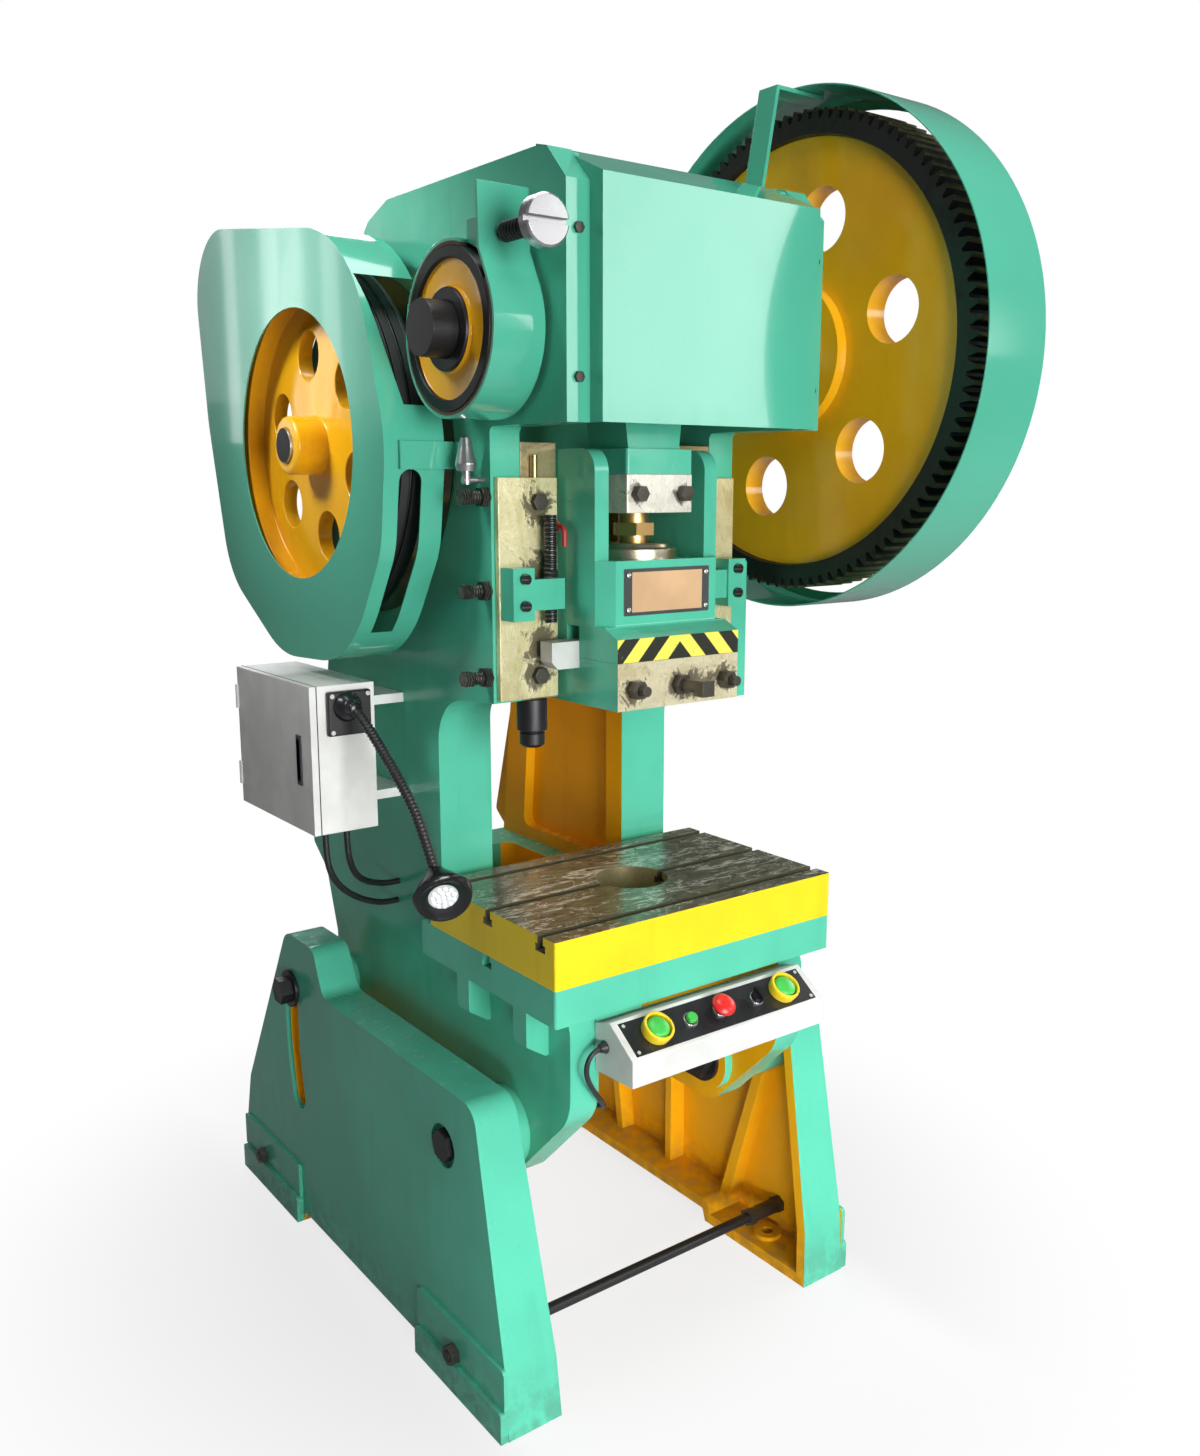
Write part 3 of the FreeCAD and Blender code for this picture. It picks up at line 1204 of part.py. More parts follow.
def box_door():
    """Folded door on the outer side with a latch plate and its halves of the hinges."""
    y0, y1 = depth(BOX_DEPTH[0]), depth(BOX_DEPTH[1]) - 0.5
    x0, x1 = BOX_X[0] - DOOR_THICK, BOX_X[0] - 0.5
    door = box(x0, x1, y0, y1, *BOX_Z)
    hollow = box(x0 + 2, x1 + 1, y0 + 2, y1 - 2, BOX_Z[0] + 2, BOX_Z[1] - 2)
    door = door.cut(hollow)
    latch_z = (BOX_Z[0] + BOX_Z[1]) / 2 - 4
    latch = prism("x", x0 - 3, x0 + 1, [
        (y0 + 52, latch_z - 44, 7), (y0 + 68, latch_z - 44, 7), (y0 + 68, latch_z + 44, 7), (y0 + 52, latch_z + 44, 7)])
    notches = [rod("z", HINGE, KNUCKLE_R + 0.6, z - 0.5, z + KNUCKLE_LONG + 0.5) for z in KNUCKLES]
    knuckles = [rod("z", HINGE, KNUCKLE_R, z + KNUCKLE_LONG + 0.5, z + 2 * KNUCKLE_LONG) for z in KNUCKLES]
    return fused([door.cut(group(notches)), latch] + knuckles)


def lamp_arm():
    """Square swivel base with the stiff bendable arm of the lamp."""
    front = depth(BOX_DEPTH[0])
    base = box(LAMP_BASE[0] - 47, LAMP_BASE[0] + 47, front - 14, front, LAMP_BASE[1] - 45, LAMP_BASE[1] + 45)
    socket = rod("y", (LAMP_ROUTE[0][0], LAMP_ROUTE[0][2]), 17, depth(544), front - 13)
    return fused([base, socket]).fuse(cord("lamp_arm", LAMP_ROUTE, 11))


def lamp_head():
    """Domed lamp head that meets the end of the arm."""
    start = Vector(*LAMP_ROUTE[-1])
    way = Vector(*LAMP_ROUTE[-1]) - Vector(*LAMP_ROUTE[-2])
    way.normalize()
    profile = [(0, 0), (0, 15), (8, 22), (24, 40), (46, 53), (74, 58), (92, 56), (100, 50), (100, 0)]
    points = [Vector(r, 0, a) for a, r in profile]
    head = Part.Face(Part.makePolygon(points + points[:1])).revolve(Vector(0, 0, 0), Vector(0, 0, 1), 360)
    head.Placement = FreeCAD.Placement(start, FreeCAD.Rotation(Vector(0, 0, 1), way))
    return head


CONDUIT_R = 7.0
CONDUIT_ROUTES = (
    [(-505, depth(600), BOX_Z[0]), (-505, depth(600), 1006), (-489, depth(612), 962), (-455, depth(634), 920),
     (-405, depth(658), 884), (-358, depth(676), 862), (-328, depth(684), 854), (-300.2, depth(684), 854)],
    [(-455, depth(605), BOX_Z[0]), (-455, depth(605), 1016), (-444, depth(615), 976), (-420, depth(634), 942),
     (-384, depth(656), 918), (-346, depth(672), 904), (-326, depth(676), 900), (-300.2, depth(676), 900)],
)


CABLE_R = 5.0
CABLE_ROUTE = [
    (-244, depth(-7), 743), (-266, depth(-7), 743), (-282, depth(-6), 727), (-284, depth(-2), 702),
    (-274, depth(3), 676), (-257, depth(7), 650), (-236, depth(13), 624), (-216, depth(32), 600),
    (-201, depth(60), 583), (-195, depth(90), 574), (-202, depth(114), 574), (-218, depth(127), 579),
    (-234.8, depth(127), 579)]


def conduits():
    """Two flexible conduits from the box to the side wall, and the cable of the switch box."""
    shapes = []
    for index, route in enumerate(CONDUIT_ROUTES):
        shapes.append(cord("conduit %d" % (index + 1), route, CONDUIT_R))
    shapes.append(cord("control cable", CABLE_ROUTE, CABLE_R))
    return group(shapes)


PANEL_HALF = 244.0
PANEL_BACK = (depth(-20), 794.0)
PANEL_FRONT = (depth(-90), 743.0)
PANEL_WALL = depth(24.5)


def control_box():
    """Desk-shaped switch box under the front of the table."""
    points = [
        (PANEL_WALL, 782), PANEL_BACK, PANEL_FRONT, (PANEL_FRONT[0], 691), (PANEL_WALL, 686)]
    body = prism("x", -PANEL_HALF, PANEL_HALF, points)
    inner = [
        (PANEL_WALL - 2, 778), (PANEL_BACK[0], PANEL_BACK[1] - 5), (PANEL_FRONT[0] + 3, PANEL_FRONT[1] - 4),
        (PANEL_FRONT[0] + 3, 695), (PANEL_WALL - 2, 690)]
    return body.cut(prism("x", -PANEL_HALF + 3, PANEL_HALF - 3, inner))


PANEL_WAY = Vector(0, PANEL_FRONT[1] - PANEL_BACK[1], PANEL_BACK[0] - PANEL_FRONT[0]).normalize()
SWITCHES = {
    "palm_button_left": -164.0, "start_button": -80.0, "stop_button": -5.0, "selector_switch": 91.0,
    "palm_button_right": 161.0}


def on_panel(shape, x):
    """Moves a shape drawn upright at the origin onto the sloping panel."""
    middle = Vector(x, (PANEL_BACK[0] + PANEL_FRONT[0]) / 2, (PANEL_BACK[1] + PANEL_FRONT[1]) / 2)
    turned_shape = shape.copy()
    turned_shape.Placement = FreeCAD.Placement(middle, FreeCAD.Rotation(Vector(0, 0, 1), PANEL_WAY))
    return turned_shape


def upright(profile):
    points = [Vector(r, 0, a) for a, r in profile]
    return Part.Face(Part.makePolygon(points + points[:1])).revolve(Vector(0, 0, 0), Vector(0, 0, 1), 360)


def button_collars():
    """High guard rings of the palm buttons and low bezels of the small switches."""
    shapes = []
    for name, x in SWITCHES.items():
        if name.startswith("palm"):
            ring = upright([(0, 24), (0, 29), (16, 31), (22, 30), (22, 25.5), (8, 25)])
        else:
            ring = upright([(0, 11.5), (0, 16), (6, 15), (6, 11.5)])
        shapes.append(on_panel(ring, x))
    return group(shapes)


def palm_button(x):
    cap = upright([(8.5, 0), (8.5, 23), (17, 23), (21, 19), (23, 10), (23.5, 0)])
    return on_panel(cap, x)


def start_button():
    return on_panel(upright([(6.5, 0), (6.5, 11), (14, 11), (16, 9), (16, 0)]), SWITCHES["start_button"])


def stop_button():
    """Mushroom button on a short stem."""
    return on_panel(upright([
        (6.5, 0), (6.5, 11), (18, 11), (18, 24), (24, 24), (30, 18), (33, 8), (33, 0)]), SWITCHES["stop_button"])


def selector_switch():
    """Round knob with a raised grip bar."""
    knob = upright([(6.5, 0), (6.5, 14), (14, 13), (14, 0)])
    grip = box(-4, 4, -15, 15, 12, 24)
    return on_panel(knob.fuse(grip).removeSplitter(), SWITCHES["selector_switch"])


# ---------------------------------------------------------------- nodes
NODES = {
    "leg_left": leg,
    "leg_right": lambda: mirrored(leg()),
    "tie_rods": tie_rods,
    "tie_rod_nuts": tie_rod_nuts,
    "pivot_bolts": pivot_bolts,
    "tilt_bolts": tilt_bolts,
    "frame_casting": frame_casting,
    "bolster_plate": bolster_plate,
    "crank_bushes": crank_bushes,
    "crankshaft": crankshaft,
    "brake_drum": brake_drum,
    "brake_lining": brake_lining,
    "brake_band": brake_band,
    "brake_tension_screw": brake_tension_screw,
    "brake_spring": brake_spring,
    "bull_gear": bull_gear,
    "gear_bush": gear_bush,
    "pinion": pinion,
    "drive_shaft": drive_shaft,
    "drive_bearings": drive_bearings,
    "flywheel": flywheel,
    "v_belts": v_belts,
    "motor_pulley": motor_pulley,
    "motor_body": motor_body,
    "motor_plate": motor_plate,
    "conrod": conrod,
    "conrod_cap": conrod_cap,
    "conrod_bolts": conrod_bolts,
    "clamp_block": clamp_block,
    "ball_screw": ball_screw,
    "ball_cup": ball_cup,
    "ram": ram,
    "clamp_plate": clamp_plate,
    "clamp_bolts": clamp_bolts,
    "nameplate": nameplate,
    "knockout_bar": knockout_bar,
    "gibs": gibs,
    "gib_plates": gib_plates,
    "gib_plate_bolts": gib_plate_bolts,
    "gib_adjusting_screws": gib_adjusting_screws,
    "gib_foot_screw": gib_foot_screw,
    "stop_brackets": stop_brackets,
    "stop_screws": stop_screws,
    "oil_fittings": oil_fittings,
    "crank_cover": crank_cover,
    "cover_screws": cover_screws,
    "gear_guard": gear_guard,
    "belt_guard": belt_guard,
    "electrical_box": electrical_box,
    "box_door": box_door,
    "lamp_arm": lamp_arm,
    "lamp_head": lamp_head,
    "conduits": conduits,
    "control_box": control_box,
    "button_collars": button_collars,
    "palm_button_left": lambda: palm_button(SWITCHES["palm_button_left"]),
    "palm_button_right": lambda: palm_button(SWITCHES["palm_button_right"]),
    "start_button": start_button,
    "stop_button": stop_button,
    "selector_switch": selector_switch,
}


def main():
    os.makedirs("parts", exist_ok=True)
    for name, build in NODES.items():
        shape = build()
        if not shape.isValid():
            print("not valid:", name)
        shape.exportStep("parts/%s.step" % name)
    print(len(NODES), "nodes")


main()
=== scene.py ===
import json
import math

import bmesh
import bpy
import numpy as np
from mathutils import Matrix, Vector

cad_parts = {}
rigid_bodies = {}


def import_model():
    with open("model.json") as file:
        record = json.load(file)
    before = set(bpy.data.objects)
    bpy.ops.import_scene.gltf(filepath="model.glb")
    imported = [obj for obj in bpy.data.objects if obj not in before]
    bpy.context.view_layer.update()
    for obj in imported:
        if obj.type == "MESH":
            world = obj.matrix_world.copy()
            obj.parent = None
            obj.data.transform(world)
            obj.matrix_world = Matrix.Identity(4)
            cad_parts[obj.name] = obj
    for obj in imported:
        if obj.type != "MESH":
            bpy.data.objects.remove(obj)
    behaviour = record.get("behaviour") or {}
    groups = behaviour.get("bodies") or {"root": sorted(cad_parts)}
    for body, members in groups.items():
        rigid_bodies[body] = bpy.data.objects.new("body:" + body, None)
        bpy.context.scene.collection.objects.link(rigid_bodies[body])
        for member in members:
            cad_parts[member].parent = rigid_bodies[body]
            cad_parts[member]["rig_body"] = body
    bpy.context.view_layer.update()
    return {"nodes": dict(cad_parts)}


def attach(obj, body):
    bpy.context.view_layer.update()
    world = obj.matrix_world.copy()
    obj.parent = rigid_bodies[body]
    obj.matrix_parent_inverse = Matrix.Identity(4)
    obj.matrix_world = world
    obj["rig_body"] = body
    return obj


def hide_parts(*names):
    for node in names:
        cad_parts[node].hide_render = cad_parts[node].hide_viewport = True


bl_info = {
    "name": "Mechanical press finish",
    "version": (1, 0, 0),
    "blender": (4, 5, 0),
    "location": "View3D > Sidebar > Press",
    "description": "Paints and details an inclinable mechanical press around its solid model",
    "category": "Object",
}

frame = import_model()
NODES = frame["nodes"]


# ---- settings
def colour_setting(name, description, default):
    return bpy.props.FloatVectorProperty(
        name=name, description=description, subtype="COLOR", size=3, min=0, max=1, default=default)


def length_setting(name, description, default):
    return bpy.props.FloatProperty(
        name=name, description=description, subtype="DISTANCE", unit="LENGTH", min=0, precision=4, default=default)


class PressColours(bpy.types.PropertyGroup):
    green: colour_setting("Enamel green", "Gloss enamel of castings and guards", (0.094, 0.525, 0.358))
    yellow: colour_setting("Enamel yellow", "Gloss enamel of wheels and inner faces", (0.88, 0.43, 0.008))
    lemon: colour_setting("Edge yellow", "Safety yellow round the table plate", (0.86, 0.64, 0.012))
    cabinet: colour_setting("Cabinet white", "Textured enamel of the switch cabinet", (0.83, 0.83, 0.8))


class PressSizes(bpy.types.PropertyGroup):
    arm_pitch: length_setting("Arm pitch", "Distance between the ribs of the lamp arm", 0.008)
    hose_pitch: length_setting("Hose pitch", "Distance between the ribs of the conduits", 0.005)
    stripe: length_setting("Stripe width", "Width of one hazard stripe along the ram", 0.036)
    plate_screw: length_setting("Plate screw", "Head radius of the small screws on plates", 0.005)


class StageSettings(bpy.types.PropertyGroup):
    floor: colour_setting("Floor", "Colour of the studio floor", (0.8, 0.8, 0.8))
    key: bpy.props.FloatProperty(
        name="Key power", description="Power of the large lamp in front", default=280, min=0)


def settings():
    """The colour, size and stage settings of the scene."""
    scene = bpy.context.scene
    return scene.press_colours, scene.press_sizes, scene.press_stage


# ---- node trees
class Value:
    """What a node puts out; arithmetic on it adds the nodes."""

    def __init__(self, nodes, socket):
        self.nodes = nodes
        self.socket = socket

    def maths(self, operation, *values):
        return self.nodes.node("ShaderNodeMath", {"operation": operation}, dict(enumerate(values)))

    def __add__(self, other):
        return self.maths("ADD", self, other)

    def __sub__(self, other):
        return self.maths("SUBTRACT", self, other)

    def __rsub__(self, other):
        return self.maths("SUBTRACT", other, self)

    def __mul__(self, other):
        return self.maths("MULTIPLY", self, other)

    def __truediv__(self, other):
        return self.maths("DIVIDE", self, other)

    __radd__ = __add__
    __rmul__ = __mul__

    def step(self, low, high):
        """Smooth change from 0 to 1 between two values."""
        return self.nodes.node(
            "ShaderNodeMapRange", {"interpolation_type": "SMOOTHSTEP"},
            {"Value": self, "From Min": low, "From Max": high}, "Result")

    def larger(self, other):
        return self.maths("MAXIMUM", self, other)

    def absolute(self):
        return self.maths("ABSOLUTE", self)

    def wrapped(self, length):
        return self.maths("WRAP", self, length, 0.0)

    def cosine(self):
        return self.maths("COSINE", self)


class Nodes:
    """A node tree of any kind, whose nodes come from one method."""

    def __init__(self, tree):
        self.tree = tree

    def feed(self, socket, value):
        """Sets a socket to a fixed value, or links one value or a list of them to it."""
        if isinstance(value, list):
            for single in value:
                self.feed(socket, single)
        elif isinstance(value, Value):
            self.tree.links.new(value.socket, socket)
        elif hasattr(socket.default_value, "__len__") and len(value) < len(socket.default_value):
            socket.default_value = (*value, 1.0)
        else:
            socket.default_value = value

    def node(self, kind, choices=None, inputs=None, output=0):
        made = self.tree.nodes.new(kind)
        for key, value in (choices or {}).items():
            setattr(made, key, value)
        for key, value in (inputs or {}).items():
            self.feed(made.inputs[key], value)
        return Value(self, made.outputs[output])

    def ends(self, kind, value):
        self.feed(self.tree.nodes.new(kind).inputs[0], value)


FINISHES = {}


class Finish(Nodes):
    """One material, kept under its name; fixed numbers go on the shader's own sockets, the rest is drawn."""

    def __init__(self, name, **fixed):
        self.material = FINISHES[name] = bpy.data.materials.new(name)
        self.material.use_nodes = True
        super().__init__(self.material.node_tree)
        self.shader = self.tree.nodes["Principled BSDF"]
        for key, value in fixed.items():
            self.set(key.replace("_", " "), value)

    def set(self, key, value):
        self.feed(self.shader.inputs[key], value)

    def place(self, stretch=(1, 1, 1)):
        """Position on the object, stretched along its axes."""
        point = self.node("ShaderNodeTexCoord", output="Object")
        return self.node("ShaderNodeVectorMath", {"operation": "MULTIPLY"}, {0: point, 1: stretch})

    def axis(self, letter):
        return self.node("ShaderNodeSeparateXYZ", None, {0: self.place()}, letter)

    def facing(self, letter):
        normal = self.node("ShaderNodeTexCoord", output="Normal")
        return self.node("ShaderNodeSeparateXYZ", None, {0: normal}, letter)

    def noise(self, scale, detail, rough, stretch=(1, 1, 1), warp=0.0):
        return self.node("ShaderNodeTexNoise", None, {
            "Vector": self.place(stretch), "Scale": scale, "Detail": detail, "Roughness": rough,
            "Distortion": warp})

    def mix(self, share, first, second):
        return self.node("ShaderNodeMix", {"data_type": "RGBA"}, {0: share, 6: first, 7: second}, 2)

    def bump(self, height, distance):
        """Surface relief; distance is the real depth in metres for a height of one."""
        self.set("Normal", self.node("ShaderNodeBump", None, {"Distance": distance, "Height": height}))


def shade(colour, factor):
    return tuple(min(1.0, c * factor) for c in colour[:3])


# ---- finishes
GRIME_HEIGHT = 0.16


def enamel(name, colour, gloss=0.16, cast=1.0, dirt=0.35, shine=1.0):
    """Gloss paint over filled castings: soft waves, orange peel, runs, dust and a grimy foot."""
    finish = Finish(name, Coat_Weight=0.15 * shine, Coat_Roughness=0.07, Specular_IOR_Level=0.3 * shine)
    blotch = finish.noise(2.6, 3, 0.55)
    fine = finish.noise(34, 4, 0.6)
    runs = finish.noise(26, 2, 0.5, (1, 1, 0.12))
    base = finish.mix(blotch.step(0.3, 0.72), shade(colour, 0.9), shade(colour, 1.08))
    base = finish.mix(runs.step(0.55, 0.75) * 0.22, base, shade(colour, 0.72))
    speck = finish.noise(140, 2, 0.5).step(0.66, 0.74) * 0.22
    base = finish.mix(speck, base, shade(colour, 0.6))
    soil = (1.0 - finish.axis("Z").step(0.0, GRIME_HEIGHT)) * fine.step(0.35, 0.62) * dirt
    dust = finish.facing("Z").step(0.75, 1.0) * fine.step(0.4, 0.75) * 0.1
    base = finish.mix(soil, base, (0.055, 0.055, 0.045))
    base = finish.mix(dust, base, (0.42, 0.44, 0.4))
    finish.set("Base Color", base)
    finish.set("Roughness", gloss + blotch.step(0.35, 0.8) * 0.1 + soil * 0.4 + dust * 1.5)
    height = finish.noise(7, 2, 0.5) + finish.noise(190, 1, 0.5) * 0.035 * cast
    finish.bump(height + fine * 0.05 * cast, 0.0045 * cast)


def sheet_enamel(name, colour, gloss=0.12):
    """Gloss paint on folded sheet: long shallow waves, smears and fine dust."""
    finish = Finish(name, Coat_Weight=0.5, Coat_Roughness=0.04, Specular_IOR_Level=0.42)
    blotch = finish.noise(1.8, 2, 0.5)
    base = finish.mix(blotch.step(0.25, 0.75), shade(colour, 0.93), shade(colour, 1.06))
    smear = finish.noise(9, 4, 0.6, (1, 1, 0.35), 0.8)
    speck = finish.noise(120, 2, 0.5).step(0.68, 0.75) * 0.18
    finish.set("Base Color", finish.mix(speck, base, shade(colour, 0.6)))
    finish.set("Roughness", gloss + smear.step(0.45, 0.75) * 0.1)
    finish.bump(finish.noise(3.2, 1, 0.4) + finish.noise(240, 1, 0.5) * 0.006, 0.0035)


def steel(name, colour, rough=0.28, grain=(1, 1, 1), stain=0.25, metal=1.0):
    """Machined metal with fine tool marks along one direction and oily stains."""
    finish = Finish(name, Metallic=metal)
    marks = finish.noise(420, 2, 0.6, grain)
    patch = finish.noise(11, 4, 0.62, (1, 1, 1), 0.6)
    base = finish.mix(marks.step(0.3, 0.7), shade(colour, 0.86), shade(colour, 1.08))
    base = finish.mix(patch.step(0.5, 0.74) * stain, base, shade(colour, 0.3))
    finish.set("Base Color", base)
    finish.set("Roughness", rough + marks.step(0.3, 0.7) * 0.1 + patch.step(0.5, 0.7) * 0.12)
    finish.bump(marks, 0.00006)


def greased_plate(name, pale, warm, dark, drag_way, bolts, reach):
    """Ground plate under a torn film of grease: pale metal, warm drag marks and grime round its bolts."""
    finish = Finish(name)
    drag = finish.noise(22, 6, 0.72, drag_way, 1.4)
    film = finish.noise(15, 6, 0.7, (1, 1, 0.8), 2.2)
    speck = finish.noise(110, 4, 0.7, (1, 1, 0.6), 0.8)
    near = None
    for x, z in bolts:
        away = finish.node("ShaderNodeVectorMath", {"operation": "DISTANCE"}, {
            0: finish.place((1, 0, 1)), 1: (x, 0, z)}, "Value")
        closeness = 1.0 - away / reach
        near = near.larger(closeness) if near else closeness
    grime = (near + (film - 0.5) * 2.4 + (speck - 0.5) * 0.9).step(0.3, 0.62)
    blot = film.step(0.66, 0.72).larger(grime)
    base = finish.mix(drag.step(0.4, 0.62) * 0.6, pale, warm)
    base = finish.mix(film.step(0.5, 0.58) * 0.4, base, shade(pale, 1.15))
    base = finish.mix(speck.step(0.55, 0.7) * 0.5, base, shade(warm, 0.5))
    base = finish.mix(blot * 0.85, base, dark)
    finish.set("Base Color", base)
    finish.set("Metallic", 0.3 - blot * 0.25)
    finish.set("Roughness", 0.24 + drag * 0.16 - film.step(0.5, 0.6) * 0.08)
    finish.bump(film + drag * 0.25 + blot * 0.35, 0.001)


def oiled_top(name):
    """Planed table top, dark with oil, with pale wiped streaks along it."""
    finish = Finish(name, Metallic=0.3, Coat_Weight=0.3, Coat_Roughness=0.08)
    wipe = finish.noise(2.6, 5, 0.6, (0.62, 3, 1), 1.4)
    second = finish.noise(3.4, 5, 0.62, (1.5, 1.9, 1), 2.6)
    fine = finish.noise(30, 5, 0.65, (0.8, 1.6, 1), 1.2)
    hair = finish.noise(120, 3, 0.6, (0.22, 1, 1), 0.6)
    first_line = 1.0 - (wipe - 0.5).absolute().step(0.0, 0.022)
    second_line = 1.0 - (second - 0.52).absolute().step(0.0, 0.014)
    streak = first_line.larger(second_line) * fine.step(0.36, 0.52)
    base = finish.mix(fine.step(0.3, 0.7), (0.06, 0.058, 0.028), (0.185, 0.18, 0.09))
    base = finish.mix(hair.step(0.5, 0.72) * 0.45, base, (0.3, 0.29, 0.19))
    base = finish.mix(streak * 0.9, base, (0.8, 0.78, 0.66))
    finish.set("Base Color", base)
    finish.set("Roughness", 0.2 + fine * 0.2)
    finish.bump(wipe + second * 0.6 + fine * 0.2, 0.003)


def threaded(name, colour, letter, pitch):
    """Dark oiled screw thread, drawn as grooves along one axis."""
    finish = Finish(name, Metallic=0.75, Roughness=0.34)
    groove = (finish.axis(letter).wrapped(pitch) / pitch - 0.5).absolute() * 2.0
    oil = finish.noise(60, 3, 0.6)
    finish.set("Base Color", finish.mix(groove.step(0.3, 0.9) * oil.step(0.3, 0.7), colour, shade(colour, 4.0)))
    finish.bump(groove.step(0.1, 0.9), pitch * 0.35)


def plain_coat(name, colour, rough, scale=90.0, relief=0.00012, metal=0.0):
    """Even moulded or textured surface with a fine grain and a trace of handling."""
    finish = Finish(name, Metallic=metal)
    grain = finish.noise(scale * 6, 2, 0.5)
    touch = finish.noise(scale / 6, 3, 0.55)
    finish.set("Base Color", finish.mix(touch.step(0.3, 0.75), shade(colour, 0.9), shade(colour, 1.08)))
    finish.set("Roughness", rough + touch.step(0.4, 0.7) * 0.1)
    finish.bump(grain, relief)


STRIPES_FOOT = 1.43
STRIPES_SLANT = 0.92


def hazard(name, width):
    """Black and yellow stripes that meet in a point at the middle of the ram."""
    finish = Finish(name, Roughness=0.3)
    run = finish.axis("X").absolute() + (finish.axis("Z") - STRIPES_FOOT) * STRIPES_SLANT
    stripe = (run.wrapped(width * 2) - width).step(-0.0006, 0.0006)
    scuff = finish.noise(80, 4, 0.6).step(0.62, 0.7) * 0.5
    base = finish.mix(stripe, (0.022, 0.025, 0.017), (0.83, 0.78, 0.11))
    finish.set("Base Color", finish.mix(scuff, base, (0.25, 0.22, 0.1)))
    finish.bump(finish.noise(300, 2, 0.5), 0.00005)


def glowing(name, colour, strength):
    """Lens with a light behind it."""
    finish = Finish(name, Roughness=0.12, Coat_Weight=1.0, Emission_Strength=strength)
    ring = finish.noise(160, 1, 0.5)
    finish.set("Base Color", finish.mix(ring, shade(colour, 0.8), colour))
    finish.set("Emission Color", finish.mix(ring, shade(colour, 0.7), colour))


# Bare metals: name, colour, roughness, stretch of the tool marks, share of stains and of metal.
METALS = (
    ("slot_dark", (0.16, 0.15, 0.09), 0.36, (1, 20, 20), 0.7, 0.5),
    ("ground_steel", (0.44, 0.37, 0.2), 0.3, (1, 1, 1), 0.9, 0.7),
    ("cup_steel", (0.62, 0.56, 0.42), 0.24, (20, 20, 1), 0.5),
    ("turned_steel", (0.55, 0.54, 0.5), 0.26, (20, 1, 1)),
    ("black_steel", (0.045, 0.045, 0.048), 0.34, (1, 1, 1), 0.3, 0.75),
    ("dark_nut", (0.11, 0.1, 0.085), 0.36, (1, 1, 1), 0.6, 0.85),
    ("greased_teeth", (0.05, 0.049, 0.046), 0.36, (0.05, 1, 1), 0.6, 0.8),
    ("worn_tooth", (0.3, 0.24, 0.12), 0.34, (0.05, 1, 1), 0.85, 0.9),
    ("black_rim", (0.03, 0.032, 0.034), 0.3, (20, 1, 1), 0.3, 0.7),
    ("bush_bronze", (0.66, 0.42, 0.17), 0.3, (20, 1, 1)),
    ("zinc_screw", (0.66, 0.66, 0.64), 0.26, (1, 1, 1), 0.3),
)
# Ground plates: name, pale, warm and dark colour, stretch of the drag marks, bolts (x, z), reach of their grime.
GREASED_PLATES = (
    ("gib_plate_metal", (0.76, 0.7, 0.42), (0.5, 0.42, 0.17), (0.045, 0.038, 0.02), (1, 1, 0.35),
     [(x, z) for x in (-0.205, 0.205) for z in (1.401, 1.465, 1.6, 1.73)], 0.055),
    ("clamp_plate_metal", (0.74, 0.68, 0.46), (0.48, 0.4, 0.2), (0.045, 0.036, 0.022), (0.45, 1, 1),
     [(-0.112, 1.387), (0.0, 1.387), (0.035, 1.392), (0.075, 1.39), (0.112, 1.387)], 0.045),
    ("rod_clamp_metal", (0.84, 0.82, 0.72), (0.62, 0.58, 0.46), (0.05, 0.042, 0.03), (0.4, 1, 1),
     [(-0.055, 1.745), (0.055, 1.745)], 0.03),
)
# Moulded and textured surfaces: name, colour, roughness, scale and depth of the grain, share of metal.
COATS = (
    ("bright_knob", (0.44, 0.44, 0.45), 0.24, 60, 0.00002, 0.85),
    ("lining", (0.09, 0.06, 0.04), 0.8),
    ("belt_rubber", (0.018, 0.018, 0.018), 0.62),
    ("latch_grey", (0.045, 0.047, 0.055), 0.42),
    ("door_seal", (0.1, 0.1, 0.1), 0.6),
    ("panel_black", (0.014, 0.015, 0.017), 0.26, 40, 0.00006),
    ("panel_rim", (0.62, 0.63, 0.61), 0.34, 60, 0.0002),
    ("black_plastic", (0.018, 0.018, 0.02), 0.38),
    ("gloss_black", (0.014, 0.013, 0.016), 0.16),
    ("yellow_plastic", (0.86, 0.62, 0.02), 0.28),
    ("green_plastic", (0.055, 0.5, 0.075), 0.3),
    ("red_plastic", (0.66, 0.02, 0.02), 0.24),
    ("white_plastic", (0.72, 0.72, 0.7), 0.3),
    ("nameplate_copper", (0.74, 0.48, 0.26), 0.34, 50, 0.00004, 0.25),
    ("nameplate_rim", (0.07, 0.075, 0.078), 0.36, 50, 0.00004, 0.3),
    ("red_paint", (0.42, 0.03, 0.03), 0.35),
)


def make_finishes():
    """Every finish of the machine, made once from the tables and the colour settings."""
    colours, sizes, _ = settings()
    green, yellow, lemon, cabinet = (tuple(getattr(colours, name)) for name in PressColours.__annotations__)
    enamel("cast_green", green)
    enamel("cast_yellow", yellow, shine=0.3)
    # The wheel yellow is the inner-face yellow lightened for the wheels, the brake drum and the crank end: painted
    # light.
    enamel("wheel_yellow", shade(yellow, 1.12), gloss=0.18, cast=0.8, dirt=0.0, shine=1.8)
    enamel("edge_yellow", lemon, gloss=0.22, cast=0.5, dirt=0.0)
    # The sheet green is the casting green darkened for the covers, guards and brake band: painted shade.
    sheet_enamel("sheet_green", shade(green, 0.86))
    # The guard green shaded almost to black for the inside of the belt guard: painted shade.
    sheet_enamel("guard_inside", shade(green, 0.16), gloss=0.3)
    plain_coat("cabinet_enamel", cabinet, 0.38, 60, 0.00025)
    oiled_top("oiled_top")
    threaded("screw_thread", (0.06, 0.058, 0.052), "X", 0.0055)
    threaded("coil_thread", (0.05, 0.05, 0.048), "Z", 0.0085)
    hazard("hazard_stripes", sizes.stripe)
    glowing("lamp_lens", (0.85, 0.88, 0.95), 0.45)
    for make, table in ((steel, METALS), (greased_plate, GREASED_PLATES), (plain_coat, COATS)):
        for row in table:
            make(*row)


